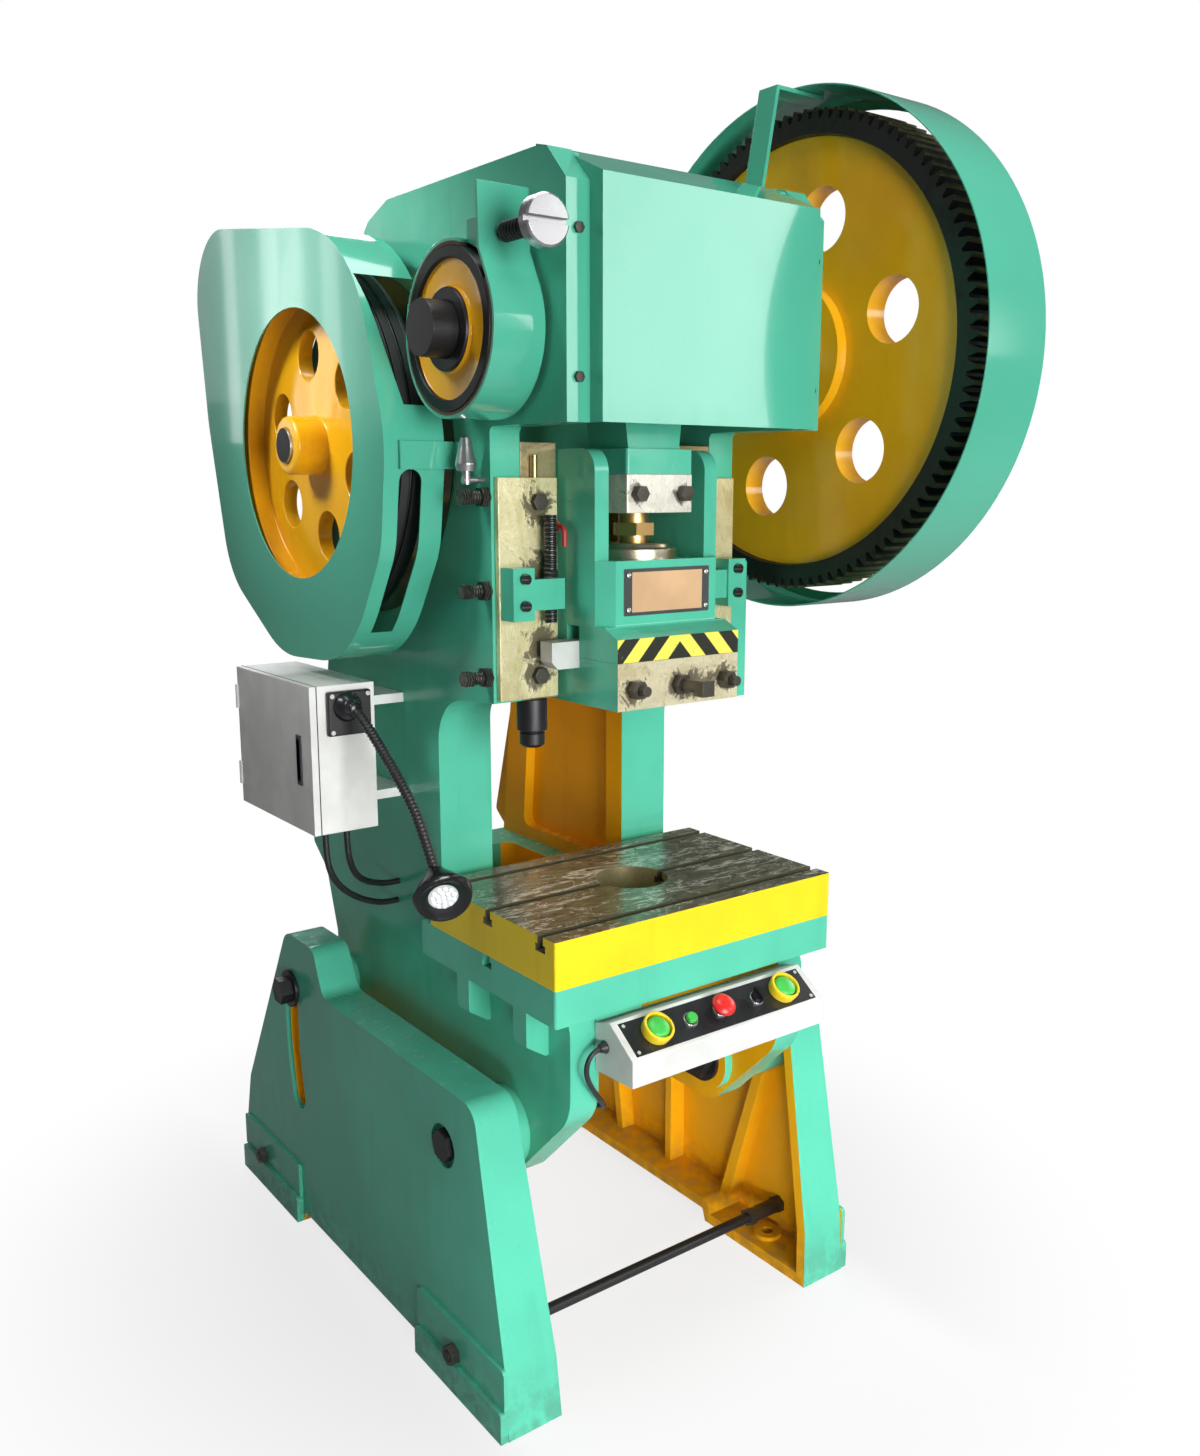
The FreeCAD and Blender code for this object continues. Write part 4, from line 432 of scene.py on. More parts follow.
# ---- pieces
MERGE_WITHIN = 2e-6
CUT_WITHIN = 1e-5
SLIVER = 5e-5
FLAT_WITHIN = math.radians(0.6)
SHARP_FROM = math.radians(32)
SLIM_SHARE = 0.98


def linked(name, data):
    piece = bpy.data.objects.new(name, data)
    bpy.context.scene.collection.objects.link(piece)
    return piece


def settle(piece):
    """Turns what the modifiers make into the piece's own mesh."""
    graph = bpy.context.evaluated_depsgraph_get()
    made = bpy.data.meshes.new_from_object(
        piece.evaluated_get(graph), preserve_all_data_layers=True, depsgraph=graph)
    piece.modifiers.clear()
    piece.data = made
    return piece


def rounded(piece, width):
    """Rounds the edges of a piece and lets its flat faces stay flat in the light."""
    for face in piece.data.polygons:
        face.use_smooth = True
    if width:
        edges = piece.modifiers.new("edges", "BEVEL")
        edges.width, edges.segments = width, 2
        edges.limit_method, edges.angle_limit = "ANGLE", SHARP_FROM
        edges.miter_outer = "MITER_ARC"
    piece.modifiers.new("shading", "WEIGHTED_NORMAL")
    return settle(piece)


def owned(piece, node, *replaced):
    """Lets a piece move with a solid part and stand for the parts it replaces, which it hides."""
    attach(piece, NODES[node]["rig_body"])
    if replaced:
        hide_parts(*replaced)
    return piece


class Faces:
    """Centres (x, y, z) and normals (nx, ny, nz) of all faces of a mesh."""

    def __init__(self, mesh):
        self.centres, self.normals = (self.read(mesh, key) for key in ("center", "normal"))
        self.x, self.y, self.z = self.centres.T
        self.nx, self.ny, self.nz = self.normals.T

    @staticmethod
    def read(mesh, key):
        values = np.zeros(len(mesh.polygons) * 3, np.float32)
        mesh.polygons.foreach_get(key, values)
        return values.reshape(-1, 3)

    def reach(self, y, z):
        """Distance from an axis that runs from left to right."""
        return np.hypot(self.y - y, self.z - z)


def dress(target, base, *rules):
    """Gives a part its finish, and others to the faces that rules pick."""
    mesh = target.data
    faces = Faces(mesh)
    index = np.zeros(len(mesh.polygons), np.int32)
    mesh.materials.clear()
    mesh.materials.append(FINISHES[base])
    for finish, picks in rules:
        index[picks(faces)] = len(mesh.materials)
        mesh.materials.append(FINISHES[finish])
    mesh.polygons.foreach_set("material_index", index)
    mesh.update()


def stand_in(name, width, base, *rules, cuts=(), slim=None):
    """A copy of a solid part with whole faces and rounded edges, shown in the part's place.

    Each cut is a plane, given by a point and a normal, along which a finish can change. A slim shank,
    given by the place and radius of its bore, is drawn in a little so that its facets clear the bore's."""
    mesh = NODES[name].data.copy()
    piece = linked(name + "_finish", mesh)
    shape = bmesh.new()
    shape.from_mesh(mesh)
    bmesh.ops.remove_doubles(shape, verts=shape.verts, dist=MERGE_WITHIN)
    for vertex in shape.verts if slim else ():
        y, z, radius = slim
        if math.hypot(vertex.co.y - y, vertex.co.z - z) < radius:
            vertex.co.y = y + (vertex.co.y - y) * SLIM_SHARE
            vertex.co.z = z + (vertex.co.z - z) * SLIM_SHARE
    for point, normal in cuts:
        everything = [*shape.verts, *shape.edges, *shape.faces]
        bmesh.ops.bisect_plane(shape, geom=everything, dist=CUT_WITHIN, plane_co=point, plane_no=normal)
    shape.to_mesh(mesh)
    shape.clear()
    dress(piece, base, *rules)
    shape.from_mesh(mesh)
    bmesh.ops.dissolve_limit(shape, angle_limit=FLAT_WITHIN, verts=shape.verts, edges=shape.edges,
                             delimit={"MATERIAL"})
    bmesh.ops.dissolve_degenerate(shape, dist=SLIVER, edges=shape.edges)
    shape.to_mesh(mesh)
    shape.free()
    return owned(rounded(piece, width), name, name)


def stand_ins(table):
    """Stand-ins with one finish each, from a table of their edge widths and finishes."""
    for name, (width, finish) in table.items():
        stand_in(name, width, finish)


class Shape:
    """A mesh made of blocks and turned bodies, each with its own finish."""

    def __init__(self):
        self.mesh = bmesh.new()
        self.finishes = []

    def slot(self, finish):
        if finish not in self.finishes:
            self.finishes.append(finish)
        return self.finishes.index(finish)

    def block(self, low, high, finish):
        corners = [self.mesh.verts.new((x, y, z))
                   for x in (low[0], high[0]) for y in (low[1], high[1]) for z in (low[2], high[2])]
        for face in ((0, 1, 3, 2), (4, 6, 7, 5), (0, 4, 5, 1), (2, 3, 7, 6), (0, 2, 6, 4), (1, 5, 7, 3)):
            self.mesh.faces.new([corners[i] for i in face]).material_index = self.slot(finish)
        return self

    def turned(self, start, way, profile, finish, sides=40):
        """Body of revolution; its profile lists distance along the axis and radius."""
        turn = Vector(way).to_track_quat("Z", "Y")
        rings = []
        for along, radius in profile:
            count = sides if radius > 0 else 1
            rings.append([self.mesh.verts.new(
                Vector(start) + turn @ Vector((radius * math.cos(math.tau * i / sides),
                                               radius * math.sin(math.tau * i / sides), along)))
                for i in range(count)])
        for first, second in zip(rings, rings[1:]):
            for i in range(sides):
                corners = [first[i % len(first)], first[(i + 1) % len(first)],
                           second[(i + 1) % len(second)], second[i % len(second)]]
                self.mesh.faces.new(list(dict.fromkeys(corners))).material_index = self.slot(finish)
        return self

    def made(self, name, node, width=0.0, *replaced):
        """Closes the shape, rounds its edges and hands it to the node whose body it moves with."""
        bmesh.ops.remove_doubles(self.mesh, verts=self.mesh.verts, dist=MERGE_WITHIN)
        bmesh.ops.recalc_face_normals(self.mesh, faces=self.mesh.faces)
        mesh = bpy.data.meshes.new(name)
        self.mesh.to_mesh(mesh)
        self.mesh.free()
        for finish in self.finishes:
            mesh.materials.append(FINISHES[finish])
        return owned(rounded(linked(name, mesh), width), node, *replaced)


# ---- geometry nodes
class Grower(Nodes):
    """A Geometry Nodes tree that takes a shape, named sizes and a finish, and ends in plain mesh."""

    def __init__(self, name, *sizes):
        super().__init__(bpy.data.node_groups.new(name, "GeometryNodeTree"))
        kinds = {"Geometry": "Geometry", **dict.fromkeys(sizes, "Float"), "Finish": "Material"}
        for label, kind in kinds.items():
            self.tree.interface.new_socket(label, in_out="INPUT", socket_type="NodeSocket" + kind)
        self.tree.interface.new_socket("Geometry", in_out="OUTPUT", socket_type="NodeSocketGeometry")
        entry = self.tree.nodes.new("NodeGroupInput")
        self.given = [Value(self, entry.outputs[label]) for label in kinds]

    def upwards(self, distance):
        return self.node("ShaderNodeCombineXYZ", None, {"Z": distance})

    def finished(self, geometry):
        real = self.node("GeometryNodeRealizeInstances", None, {"Geometry": geometry})
        smooth = self.node("GeometryNodeSetShadeSmooth", None, {"Geometry": real})
        self.ends("NodeGroupOutput", self.node(
            "GeometryNodeSetMaterial", None, {"Geometry": smooth, "Material": self.given[-1]}))
        return self

    def grow(self, piece, **values):
        """Runs the tree on a piece and keeps the result as its mesh."""
        names = {item.name: item.identifier for item in self.tree.interface.items_tree if item.in_out == "INPUT"}
        modifier = piece.modifiers.new(self.tree.name, "NODES")
        modifier.node_group = self.tree
        for label, value in values.items():
            modifier[names[label]] = value
        settle(piece)
        if not len(piece.data.polygons):
            raise RuntimeError(piece.name + " has no faces")
        return piece


def hose_tree():
    """Round ribs along a line, four rings to a rib."""
    grower = Grower("ribbed_hose", "Radius", "Groove", "Pitch")
    source, radius, groove, pitch, _ = grower.given
    line = grower.node("GeometryNodeMeshToCurve", None, {"Mesh": source})
    even = grower.node("GeometryNodeResampleCurve", {"mode": "LENGTH"}, {"Curve": line, "Length": pitch / 4})
    phase = grower.node("GeometryNodeInputIndex") * (math.pi / 2)
    dip = 0.5 - phase.cosine() * 0.5
    ring = grower.node("GeometryNodeCurvePrimitiveCircle", None, {"Resolution": 18, "Radius": 1})
    return grower.finished(grower.node("GeometryNodeCurveToMesh", None, {
        "Curve": even, "Profile Curve": ring, "Scale": radius - dip * groove, "Fill Caps": True}))


def screw_tree():
    """Pan heads with a hexagon socket, one at each point, along the point's own direction."""
    grower = Grower("plate_screws", "Radius", "Height", "Turn")
    source, radius, height, turn, _ = grower.given
    head = grower.node("GeometryNodeMeshCylinder", None, {"Vertices": 24, "Radius": radius, "Depth": height * 2})
    dome = grower.node("GeometryNodeMeshUVSphere", None, {"Segments": 24, "Rings": 12, "Radius": radius})
    flat = grower.node("GeometryNodeTransform", None, {
        "Geometry": dome, "Scale": (1, 1, 0.45), "Translation": grower.upwards(height * 0.62)})
    pan = grower.node("GeometryNodeMeshBoolean", {"operation": "INTERSECT", "solver": "EXACT"}, {
        "Mesh 2": [head, flat]})
    key = grower.node("GeometryNodeMeshCylinder", None, {"Vertices": 6, "Radius": radius * 0.46, "Depth": height})
    lifted = grower.node("GeometryNodeTransform", None, {
        "Geometry": key, "Translation": grower.upwards(height * 1.1)})
    cut = grower.node("GeometryNodeMeshBoolean", {"operation": "DIFFERENCE", "solver": "EXACT"}, {
        "Mesh 1": pan, "Mesh 2": lifted})
    way = grower.node("GeometryNodeInputNamedAttribute", {"data_type": "FLOAT_VECTOR"}, {"Name": "way"})
    upright = grower.node("FunctionNodeAlignRotationToVector", {"axis": "Z"}, {"Vector": way})
    spread = grower.node("GeometryNodeInstanceOnPoints", None, {
        "Points": source, "Instance": cut, "Rotation": upright})
    return grower.finished(grower.node("GeometryNodeRotateInstances", None, {
        "Instances": spread, "Rotation": grower.upwards(turn)}))


GROWERS = {}


def screws(name, node, places, way, radius, height, turn=0.3, finish="zinc_screw"):
    """A set of small screw heads on a plate, as one piece."""
    mesh = bpy.data.meshes.new(name)
    mesh.from_pydata(places, [], [])
    ways = mesh.attributes.new("way", "FLOAT_VECTOR", "POINT")
    ways.data.foreach_set("vector", [*way] * len(places))
    piece = GROWERS["screw"].grow(
        linked(name, mesh), Radius=radius, Height=height, Turn=turn, Finish=FINISHES[finish])
    return owned(piece, node)


# ---- cords
def route(name, points, radius=0.0):
    """A smooth line along route points; with a radius it is a round cord."""
    data = bpy.data.curves.new(name, "CURVE")
    data.dimensions = "3D"
    spline = data.splines.new("NURBS")
    spline.points.add(len(points) - 1)
    for control, point in zip(spline.points, points):
        control.co = (*point, 1.0)
    spline.order_u = 3
    spline.use_endpoint_u = True
    spline.resolution_u = data.resolution_u = 12
    data.bevel_depth = radius
    data.bevel_resolution = 4
    data.use_fill_caps = radius > 0
    return linked(name, data)


def hose(name, points, radius, groove, pitch, finish):
    """A ribbed tube along a smooth route; gives the piece and the points it follows."""
    line = route(name + "_line", points)
    mesh = bpy.data.meshes.new_from_object(line)
    path = [tuple(v.co) for v in mesh.vertices]
    bpy.data.objects.remove(line)
    piece = GROWERS["hose"].grow(
        linked(name, mesh), Radius=radius, Groove=groove, Pitch=pitch, Finish=FINISHES[finish])
    return piece, path


CONDUITS = {
    "conduit_outer": (0.344, [
        (-0.505, -0.05, 1.064), (-0.505, -0.05, 1.006), (-0.489, -0.038, 0.962), (-0.455, -0.016, 0.92),
        (-0.405, 0.008, 0.884), (-0.358, 0.026, 0.862), (-0.328, 0.034, 0.854), (-0.3002, 0.034, 0.854)]),
    "conduit_inner": (0.273, [
        (-0.455, -0.045, 1.064), (-0.455, -0.045, 1.016), (-0.444, -0.035, 0.976), (-0.42, -0.016, 0.942),
        (-0.384, 0.006, 0.918), (-0.346, 0.022, 0.904), (-0.326, 0.026, 0.9), (-0.3002, 0.026, 0.9)]),
}
SWITCH_CABLE = [
    (-0.244, -0.657, 0.743), (-0.266, -0.657, 0.743), (-0.282, -0.656, 0.727), (-0.284, -0.652, 0.702),
    (-0.274, -0.647, 0.676), (-0.257, -0.643, 0.65), (-0.236, -0.637, 0.624), (-0.216, -0.618, 0.6),
    (-0.201, -0.59, 0.583), (-0.195, -0.56, 0.574), (-0.202, -0.536, 0.574), (-0.218, -0.523, 0.579),
    (-0.2348, -0.523, 0.579)]
LAMP_ARM = [
    (-0.466, -0.094, 1.325), (-0.466, -0.13, 1.322), (-0.459, -0.156, 1.3), (-0.45, -0.184, 1.268),
    (-0.443, -0.218, 1.232), (-0.438, -0.27, 1.186), (-0.433, -0.3, 1.15), (-0.43, -0.324, 1.112),
    (-0.427, -0.34, 1.078), (-0.426, -0.359, 1.046)]


class PRESS_OT_cords(bpy.types.Operator):
    """Makes the two conduits and the cable of the switch box"""

    bl_idname = "press.cords"
    bl_label = "Cords"

    def execute(self, context):
        _, sizes, _ = settings()
        for name, (length, points) in CONDUITS.items():
            piece, path = hose(name, points, 0.007, 0.0012, sizes.hose_pitch, "black_plastic")
            owned(piece, "conduits", "conduits")
        cable = route("switch_cable", SWITCH_CABLE, 0.005)
        cable.data.materials.append(FINISHES["black_plastic"])
        owned(cable, "conduits", "conduits")
        return {"FINISHED"}


# ---- regions of the machine
CRANK = (-0.425, 2.024)
DRIVE = (0.09219, 1.83984)
PIVOT = (-0.41, 0.505)
PIVOT_BORE, PIVOT_BOSS = 0.0302, 0.085
GEAR_RIM, TOOTH_TIPS = 0.4305, 0.476
FLYWHEEL_RIM = 0.341
DRUM_RIM, DRUM_HUB = 0.1175, 0.071
TABLE_HOLE = 0.0752
LEG_FACE, LEG_RIM = 0.4295, 0.017
LEG_MIDDLE = (0, 0.33)
LEG_OUTLINE = np.array([
    (-0.634, 0.0), (-0.626, 0.126), (-0.528, 0.63), (0.122, 0.63), (0.165, 0.731), (0.316, 0.731),
    (0.59, 0.262), (0.63, 0.115), (0.624, 0.0)])


def between(values, low, high):
    return (values > low) & (values < high)


def inside_walls(f):
    """Faces that look inwards between the side walls behind the guides, and below the table."""
    facing_in = f.x * f.nx < -0.02
    deep = np.abs(f.x) < 0.2355
    return (facing_in & deep & (f.y > -0.165)) | (facing_in & (f.z < 0.8))


def inside_column(f):
    """Faces of the cross walls between the side walls."""
    low = (np.abs(f.x) < 0.21) & (f.y > -0.16) & between(f.z, 0.88, 1.36)
    return low | ((f.y > -0.03) & (np.abs(f.x) < 0.234) & (f.z > 1.36))


def leg_rim(f):
    """Faces of a leg's edge that look away from its middle."""
    places, ways = f.centres[:, 1:3], f.normals[:, 1:3]
    near = np.full(len(places), np.inf)
    for first, second in zip(LEG_OUTLINE, LEG_OUTLINE[1:]):
        run = second - first
        along = np.clip(((places - first) @ run) / (run @ run), 0, 1)
        near = np.minimum(near, np.linalg.norm(places - first - along[:, None] * run, axis=1))
    outward = ((places - LEG_MIDDLE) * ways).sum(axis=1) > 0
    return (near < LEG_RIM) & outward & (np.abs(f.nx) < 0.5)


def leg_green(f):
    """The outside, the rim and the pivot boss of a leg."""
    outside = (np.abs(f.x) > LEG_FACE) & (f.x * f.nx > -0.02)
    boss = (f.reach(*PIVOT) < PIVOT_BOSS) & (np.abs(f.x) < LEG_FACE)
    return outside | leg_rim(f) | boss


# ---- operators
class PRESS_OT_castings(bpy.types.Operator):
    """Rounds and paints the frame, the legs, the ram and the connecting rod"""

    bl_idname = "press.castings"
    bl_label = "Castings"

    def execute(self, context):
        stand_in("frame_casting", 0.004, "cast_green", ("cast_yellow", inside_walls), ("cast_yellow", inside_column))
        for side in ("left", "right"):
            stand_in("leg_" + side, 0.005, "cast_yellow", ("cast_green", leg_green))
        stand_in("ram", 0.003, "cast_green",
                 ("hazard_stripes", lambda f: (f.ny < -0.9) & (f.y < -0.565) & between(f.z, 1.437, 1.49)),
                 ("ground_steel", lambda f: (np.abs(f.x) > 0.1845) & (np.abs(f.nx) > 0.9) & (f.y > -0.39)),
                 cuts=[((0, 0, 1.4815), (0, 0, 1)), ((0, -0.392, 0), (0, 1, 0))])
        for name in ("conrod", "conrod_cap"):
            stand_in(name, 0.004, "cast_green")
        return {"FINISHED"}


class PRESS_OT_drive(bpy.types.Operator):
    """Finishes the gears, the flywheel, the belts, the motor and the shafts"""

    bl_idname = "press.drive"
    bl_label = "Drive"

    def execute(self, context):
        stand_in("bull_gear", 0.0009, "wheel_yellow",
                 ("greased_teeth", lambda f: f.reach(*CRANK) > GEAR_RIM),
                 ("worn_tooth", lambda f: (f.reach(*CRANK) > TOOTH_TIPS) & (np.abs(f.nx) < 0.3)))
        stand_in("flywheel", 0.0025, "wheel_yellow",
                 ("black_rim", lambda f: f.reach(*DRIVE) > FLYWHEEL_RIM))
        stand_in("pinion", 0.0008, "greased_teeth")
        stand_in("drive_shaft", 0.0015, "turned_steel", ("black_steel", lambda f: f.x < -0.49))
        stand_in("crankshaft", 0.0025, "turned_steel",
                 ("black_steel", lambda f: f.x < -0.3), ("wheel_yellow", lambda f: f.x > 0.52))
        stand_ins({
            "drive_bearings": (0.002, "cast_green"), "motor_pulley": (0.001, "turned_steel"),
            "motor_body": (0.0015, "cast_green"), "motor_plate": (0.002, "cast_green")})
        dress(NODES["gear_bush"], "bush_bronze")
        dress(NODES["crank_bushes"], "bush_bronze")
        dress(NODES["v_belts"], "belt_rubber")
        return {"FINISHED"}


class PRESS_OT_brake(bpy.types.Operator):
    """Finishes the brake drum, its band and the tension screw"""

    bl_idname = "press.brake"
    bl_label = "Brake"

    def execute(self, context):
        stand_in("brake_drum", 0.002, "wheel_yellow",
                 ("black_rim", lambda f: f.reach(*CRANK) > DRUM_RIM),
                 ("black_steel", lambda f: f.reach(*CRANK) < DRUM_HUB))
        stand_in("brake_band", 0.0012, "sheet_green")
        stand_in("brake_tension_screw", 0.001, "bright_knob", ("dark_nut", lambda f: f.y > -0.6))
        dress(NODES["brake_lining"], "lining")
        dress(NODES["brake_spring"], "black_steel")
        return {"FINISHED"}


class PRESS_OT_slides(bpy.types.Operator):
    """Finishes the table, the guides, the clamp and all bare metal"""

    bl_idname = "press.slides"
    bl_label = "Table and guides"

    ONE_FINISH = {
        "ball_cup": (0.0025, "cup_steel"), "gibs": (0.001, "ground_steel"),
        "gib_plates": (0.0015, "gib_plate_metal"), "clamp_block": (0.002, "rod_clamp_metal"),
        "clamp_bolts": (0.001, "dark_nut"), "gib_plate_bolts": (0.001, "dark_nut"),
        "gib_adjusting_screws": (0.001, "screw_thread"), "gib_foot_screw": (0.001, "black_steel"),
        "stop_brackets": (0.0015, "cast_green"), "stop_screws": (0.0008, "coil_thread"),
        "knockout_bar": (0.0015, "panel_rim"), "tie_rod_nuts": (0.001, "dark_nut"),
        "tilt_bolts": (0.0015, "black_steel"), "conrod_bolts": (0.001, "dark_nut"),
        "cover_screws": (0.0006, "dark_nut"), "tie_rods": (0.0008, "black_steel"),
    }

    def execute(self, context):
        stand_in("bolster_plate", 0.002, "edge_yellow",
                 ("slot_dark", lambda f: (np.abs(f.nx) < 0.5) & between(f.z, 0.9, 0.9645)
                  & between(f.y, -0.649, -0.201)),
                 ("oiled_top", lambda f: f.nz > 0.9),
                 ("ground_steel", lambda f: np.hypot(f.x, f.y - CRANK[0]) < TABLE_HOLE))
        stand_in("clamp_plate", 0.0015, "clamp_plate_metal", ("cast_green", lambda f: np.abs(f.nx) > 0.7))
        stand_ins(self.ONE_FINISH)
        stand_in("pivot_bolts", 0.002, "black_steel", slim=(*PIVOT, PIVOT_BORE))
        dress(NODES["ball_screw"], "bush_bronze")
        dress(NODES["oil_fittings"], "bright_knob", ("red_paint", lambda f: f.x > -0.2),
              ("bush_bronze", lambda f: between(f.x, -0.22, -0.2)))
        return {"FINISHED"}


class PRESS_OT_guards(bpy.types.Operator):
    """Paints the sheet covers and guards"""

    bl_idname = "press.guards"
    bl_label = "Guards"

    def execute(self, context):
        stand_in("crank_cover", 0.003, "sheet_green")
        stand_in("gear_guard", 0.0012, "sheet_green")
        # A dark disc inside the belt guard behind the flywheel, there only so that the holes of the flywheel show
        # painted shadow.
        back = Shape().turned((-0.3035, *DRIVE), (1, 0, 0), [
            (0, 0.099), (0, 0.346), (0.002, 0.346), (0.002, 0.099), (0, 0.099)], "guard_inside", 96)
        back.made("guard_back_shadow", "belt_guard")
        # The inner faces of the belt guard take the painted shade of its inside.
        stand_in("belt_guard", 0.0012, "sheet_green",
                 ("guard_inside", lambda f: (f.nx > 0.5) & between(f.x, -0.474, -0.301)))
        return {"FINISHED"}


class PRESS_OT_cabinet(bpy.types.Operator):
    """Finishes the switch cabinet and its door"""

    bl_idname = "press.cabinet"
    bl_label = "Switch cabinet"

    def execute(self, context):
        stand_in("electrical_box", 0.002, "cabinet_enamel")
        stand_in("box_door", 0.002, "cabinet_enamel",
                 ("latch_grey", lambda f: (f.x < -0.5402) & between(f.y, -0.03, -0.006)
                  & between(f.z, 1.15, 1.27)))
        handle = Shape().block((-0.543, -0.031, 1.16), (-0.5398, -0.009, 1.264), "latch_grey")
        handle.made("door_latch", "box_door", 0.001)
        gasket = Shape()
        for low, high in (((-0.0784, 1.0636), (-0.07, 1.3684)), ((0.299, 1.0636), (0.3074, 1.3684)),
                          ((-0.072, 1.0636), (0.301, 1.072)), ((-0.072, 1.36), (0.301, 1.3684))):
            gasket.block((-0.5262, *low), (-0.524, *high), "door_seal")
        gasket.made("door_gasket", "electrical_box")
        return {"FINISHED"}


class PRESS_OT_lamp(bpy.types.Operator):
    """Makes the work lamp: base, swivel, ribbed arm and head"""

    bl_idname = "press.lamp"
    bl_label = "Work lamp"

    def execute(self, context):
        _, sizes, _ = settings()
        arm, _ = hose("lamp_gooseneck", LAMP_ARM, 0.011, 0.0022, sizes.arm_pitch, "black_plastic")
        owned(arm, "lamp_arm", "lamp_arm")
        base = Shape().block((-0.506, -0.092, 1.266), (-0.412, -0.078, 1.356), "black_plastic")
        base.made("lamp_base", "lamp_arm", 0.004, "lamp_arm")
        swivel = Shape().turned((-0.466, -0.09, 1.325), (0, -1, 0), [
            (0, 0), (0, 0.03), (0.006, 0.03), (0.009, 0.027), (0.016, 0.026), (0.022, 0.02), (0.027, 0.0165),
            (0.04, 0.015), (0.044, 0.012), (0.044, 0)], "gloss_black")
        swivel.made("lamp_swivel", "lamp_arm", 0.0, "lamp_arm")
        screws("lamp_base_screws", "lamp_arm", [
            (x, -0.092, z) for x in (-0.498, -0.42) for z in (1.274, 1.348)], (0, -1, 0), 0.0048, 0.003, 0.2,
            "white_plastic")
        self.head()
        return {"FINISHED"}

    def head(self):
        """Bell with a mouth cut at a slant towards the operator, and a cluster of small lights in it."""
        start, way = Vector(LAMP_ARM[-1]), Vector((1, -19, -32)).normalized()
        side = Vector((-0.5, -0.83, 0.3))
        side = (side - way * side.dot(way)).normalized()

        def slanted(shape):
            for vertex in shape.mesh.verts:
                along = (vertex.co - start).dot(way)
                lean = 0.6 * ((vertex.co - start).dot(side) + 0.055)
                vertex.co -= way * lean * min(1.0, max(0.0, (along - 0.04) / 0.05))
            return shape

        bell = Shape().turned(start, way, [
            (0, 0), (0, 0.015), (0.004, 0.0165), (0.01, 0.0225), (0.016, 0.031), (0.024, 0.04),
            (0.034, 0.048), (0.046, 0.053), (0.058, 0.0565), (0.074, 0.058), (0.088, 0.057), (0.096, 0.054),
            (0.1, 0.05), (0.098, 0.047), (0.092, 0.044), (0.09, 0.03), (0.089, 0)], "gloss_black", 56)
        slanted(bell).made("lamp_shade", "lamp_head", 0.0, "lamp_head")
        face = Shape().turned(start + way * 0.0885, way, [
            (0, 0), (0, 0.029), (0.0026, 0.029), (0.0034, 0.0275), (0.0034, 0)], "white_plastic")
        across = way.to_track_quat("Z", "Y")
        for count, ring in ((1, 0.0), (6, 0.0115), (11, 0.0215)):
            for i in range(count):
                turn = math.tau * i / count
                spot = across @ Vector((ring * math.cos(turn), ring * math.sin(turn), 0))
                face.turned(start + way * 0.0914 + spot, way, [
                    (0, 0), (0, 0.0046), (0.0022, 0.0044), (0.004, 0.003), (0.0048, 0)], "lamp_lens", 14)
        slanted(face).made("lamp_face", "lamp_head", 0.0, "lamp_head")


class PRESS_OT_switches(bpy.types.Operator):
    """Finishes the two-hand switch box and its buttons"""

    bl_idname = "press.switches"
    bl_label = "Switch box"

    PANEL_MIDDLE = Vector((0, -0.705, 0.7685))
    PANEL_DOWN = Vector((0, -0.808, -0.589))
    PANEL_OUT = Vector((0, -0.589, 0.808))
    PANEL_REACH = (0.23, 0.0365)

    def execute(self, context):
        _, sizes, _ = settings()
        wide, high = self.PANEL_REACH
        cuts = [((side * wide, 0, 0), (1, 0, 0)) for side in (-1, 1)]
        cuts += [(self.PANEL_MIDDLE + self.PANEL_DOWN * side * high, self.PANEL_DOWN) for side in (-1, 1)]
        middle, down, out = (np.array(v) for v in (self.PANEL_MIDDLE, self.PANEL_DOWN, self.PANEL_OUT))

        def panel(f):
            """Faces of the sloping front within the black panel."""
            in_height = np.abs((f.centres - middle) @ down) < high - 0.001
            return (f.normals @ out > 0.97) & in_height & (np.abs(f.x) < wide)

        stand_in("control_box", 0.002, "panel_rim", ("panel_black", panel), cuts=cuts)
        stand_in("button_collars", 0.0012, "bright_knob", ("yellow_plastic", lambda f: np.abs(f.x) > 0.12))
        stand_ins({
            "palm_button_left": (0.002, "green_plastic"), "palm_button_right": (0.002, "green_plastic"),
            "start_button": (0.001, "green_plastic"), "stop_button": (0.0015, "red_plastic"),
            "selector_switch": (0.001, "gloss_black")})
        corners = [self.PANEL_MIDDLE + Vector((x, 0, 0)) + self.PANEL_DOWN * run
                   for x in (-0.221, 0.221) for run in (-0.029, 0.029)]
        screws("panel_screws", "control_box", corners, self.PANEL_OUT, sizes.plate_screw * 0.75, 0.0018)
        entry = Shape().turned((-0.2435, -0.657, 0.743), (-1, 0, 0), [
            (0, 0), (0, 0.0125), (0.003, 0.0125), (0.005, 0.0105), (0.013, 0.008), (0.014, 0.006), (0.014, 0)],
            "black_plastic", 28)
        entry.made("cable_entry", "control_box")
        return {"FINISHED"}


class PRESS_OT_nameplate(bpy.types.Operator):
    """Finishes the blank rating plate on the ram"""

    bl_idname = "press.nameplate"
    bl_label = "Rating plate"

    FIELD_SIDES = (-0.0865, 0.0865)
    FIELD_ENDS = (1.5255, 1.6005)

    def execute(self, context):
        _, sizes, _ = settings()
        stand_in("nameplate", 0.0006, "nameplate_rim",
                 ("nameplate_copper", lambda f: (f.ny < -0.9) & between(f.x, *self.FIELD_SIDES)
                  & between(f.z, *self.FIELD_ENDS)),
                 cuts=[((x, 0, 0), (1, 0, 0)) for x in self.FIELD_SIDES]
                 + [((0, 0, z), (0, 0, 1)) for z in self.FIELD_ENDS])
        corners = [(x, -0.532, z) for x in (-0.0955, 0.0955) for z in (1.5305, 1.5955)]
        screws("plate_screws", "nameplate", corners, (0, -1, 0), sizes.plate_screw, 0.0028)
        return {"FINISHED"}


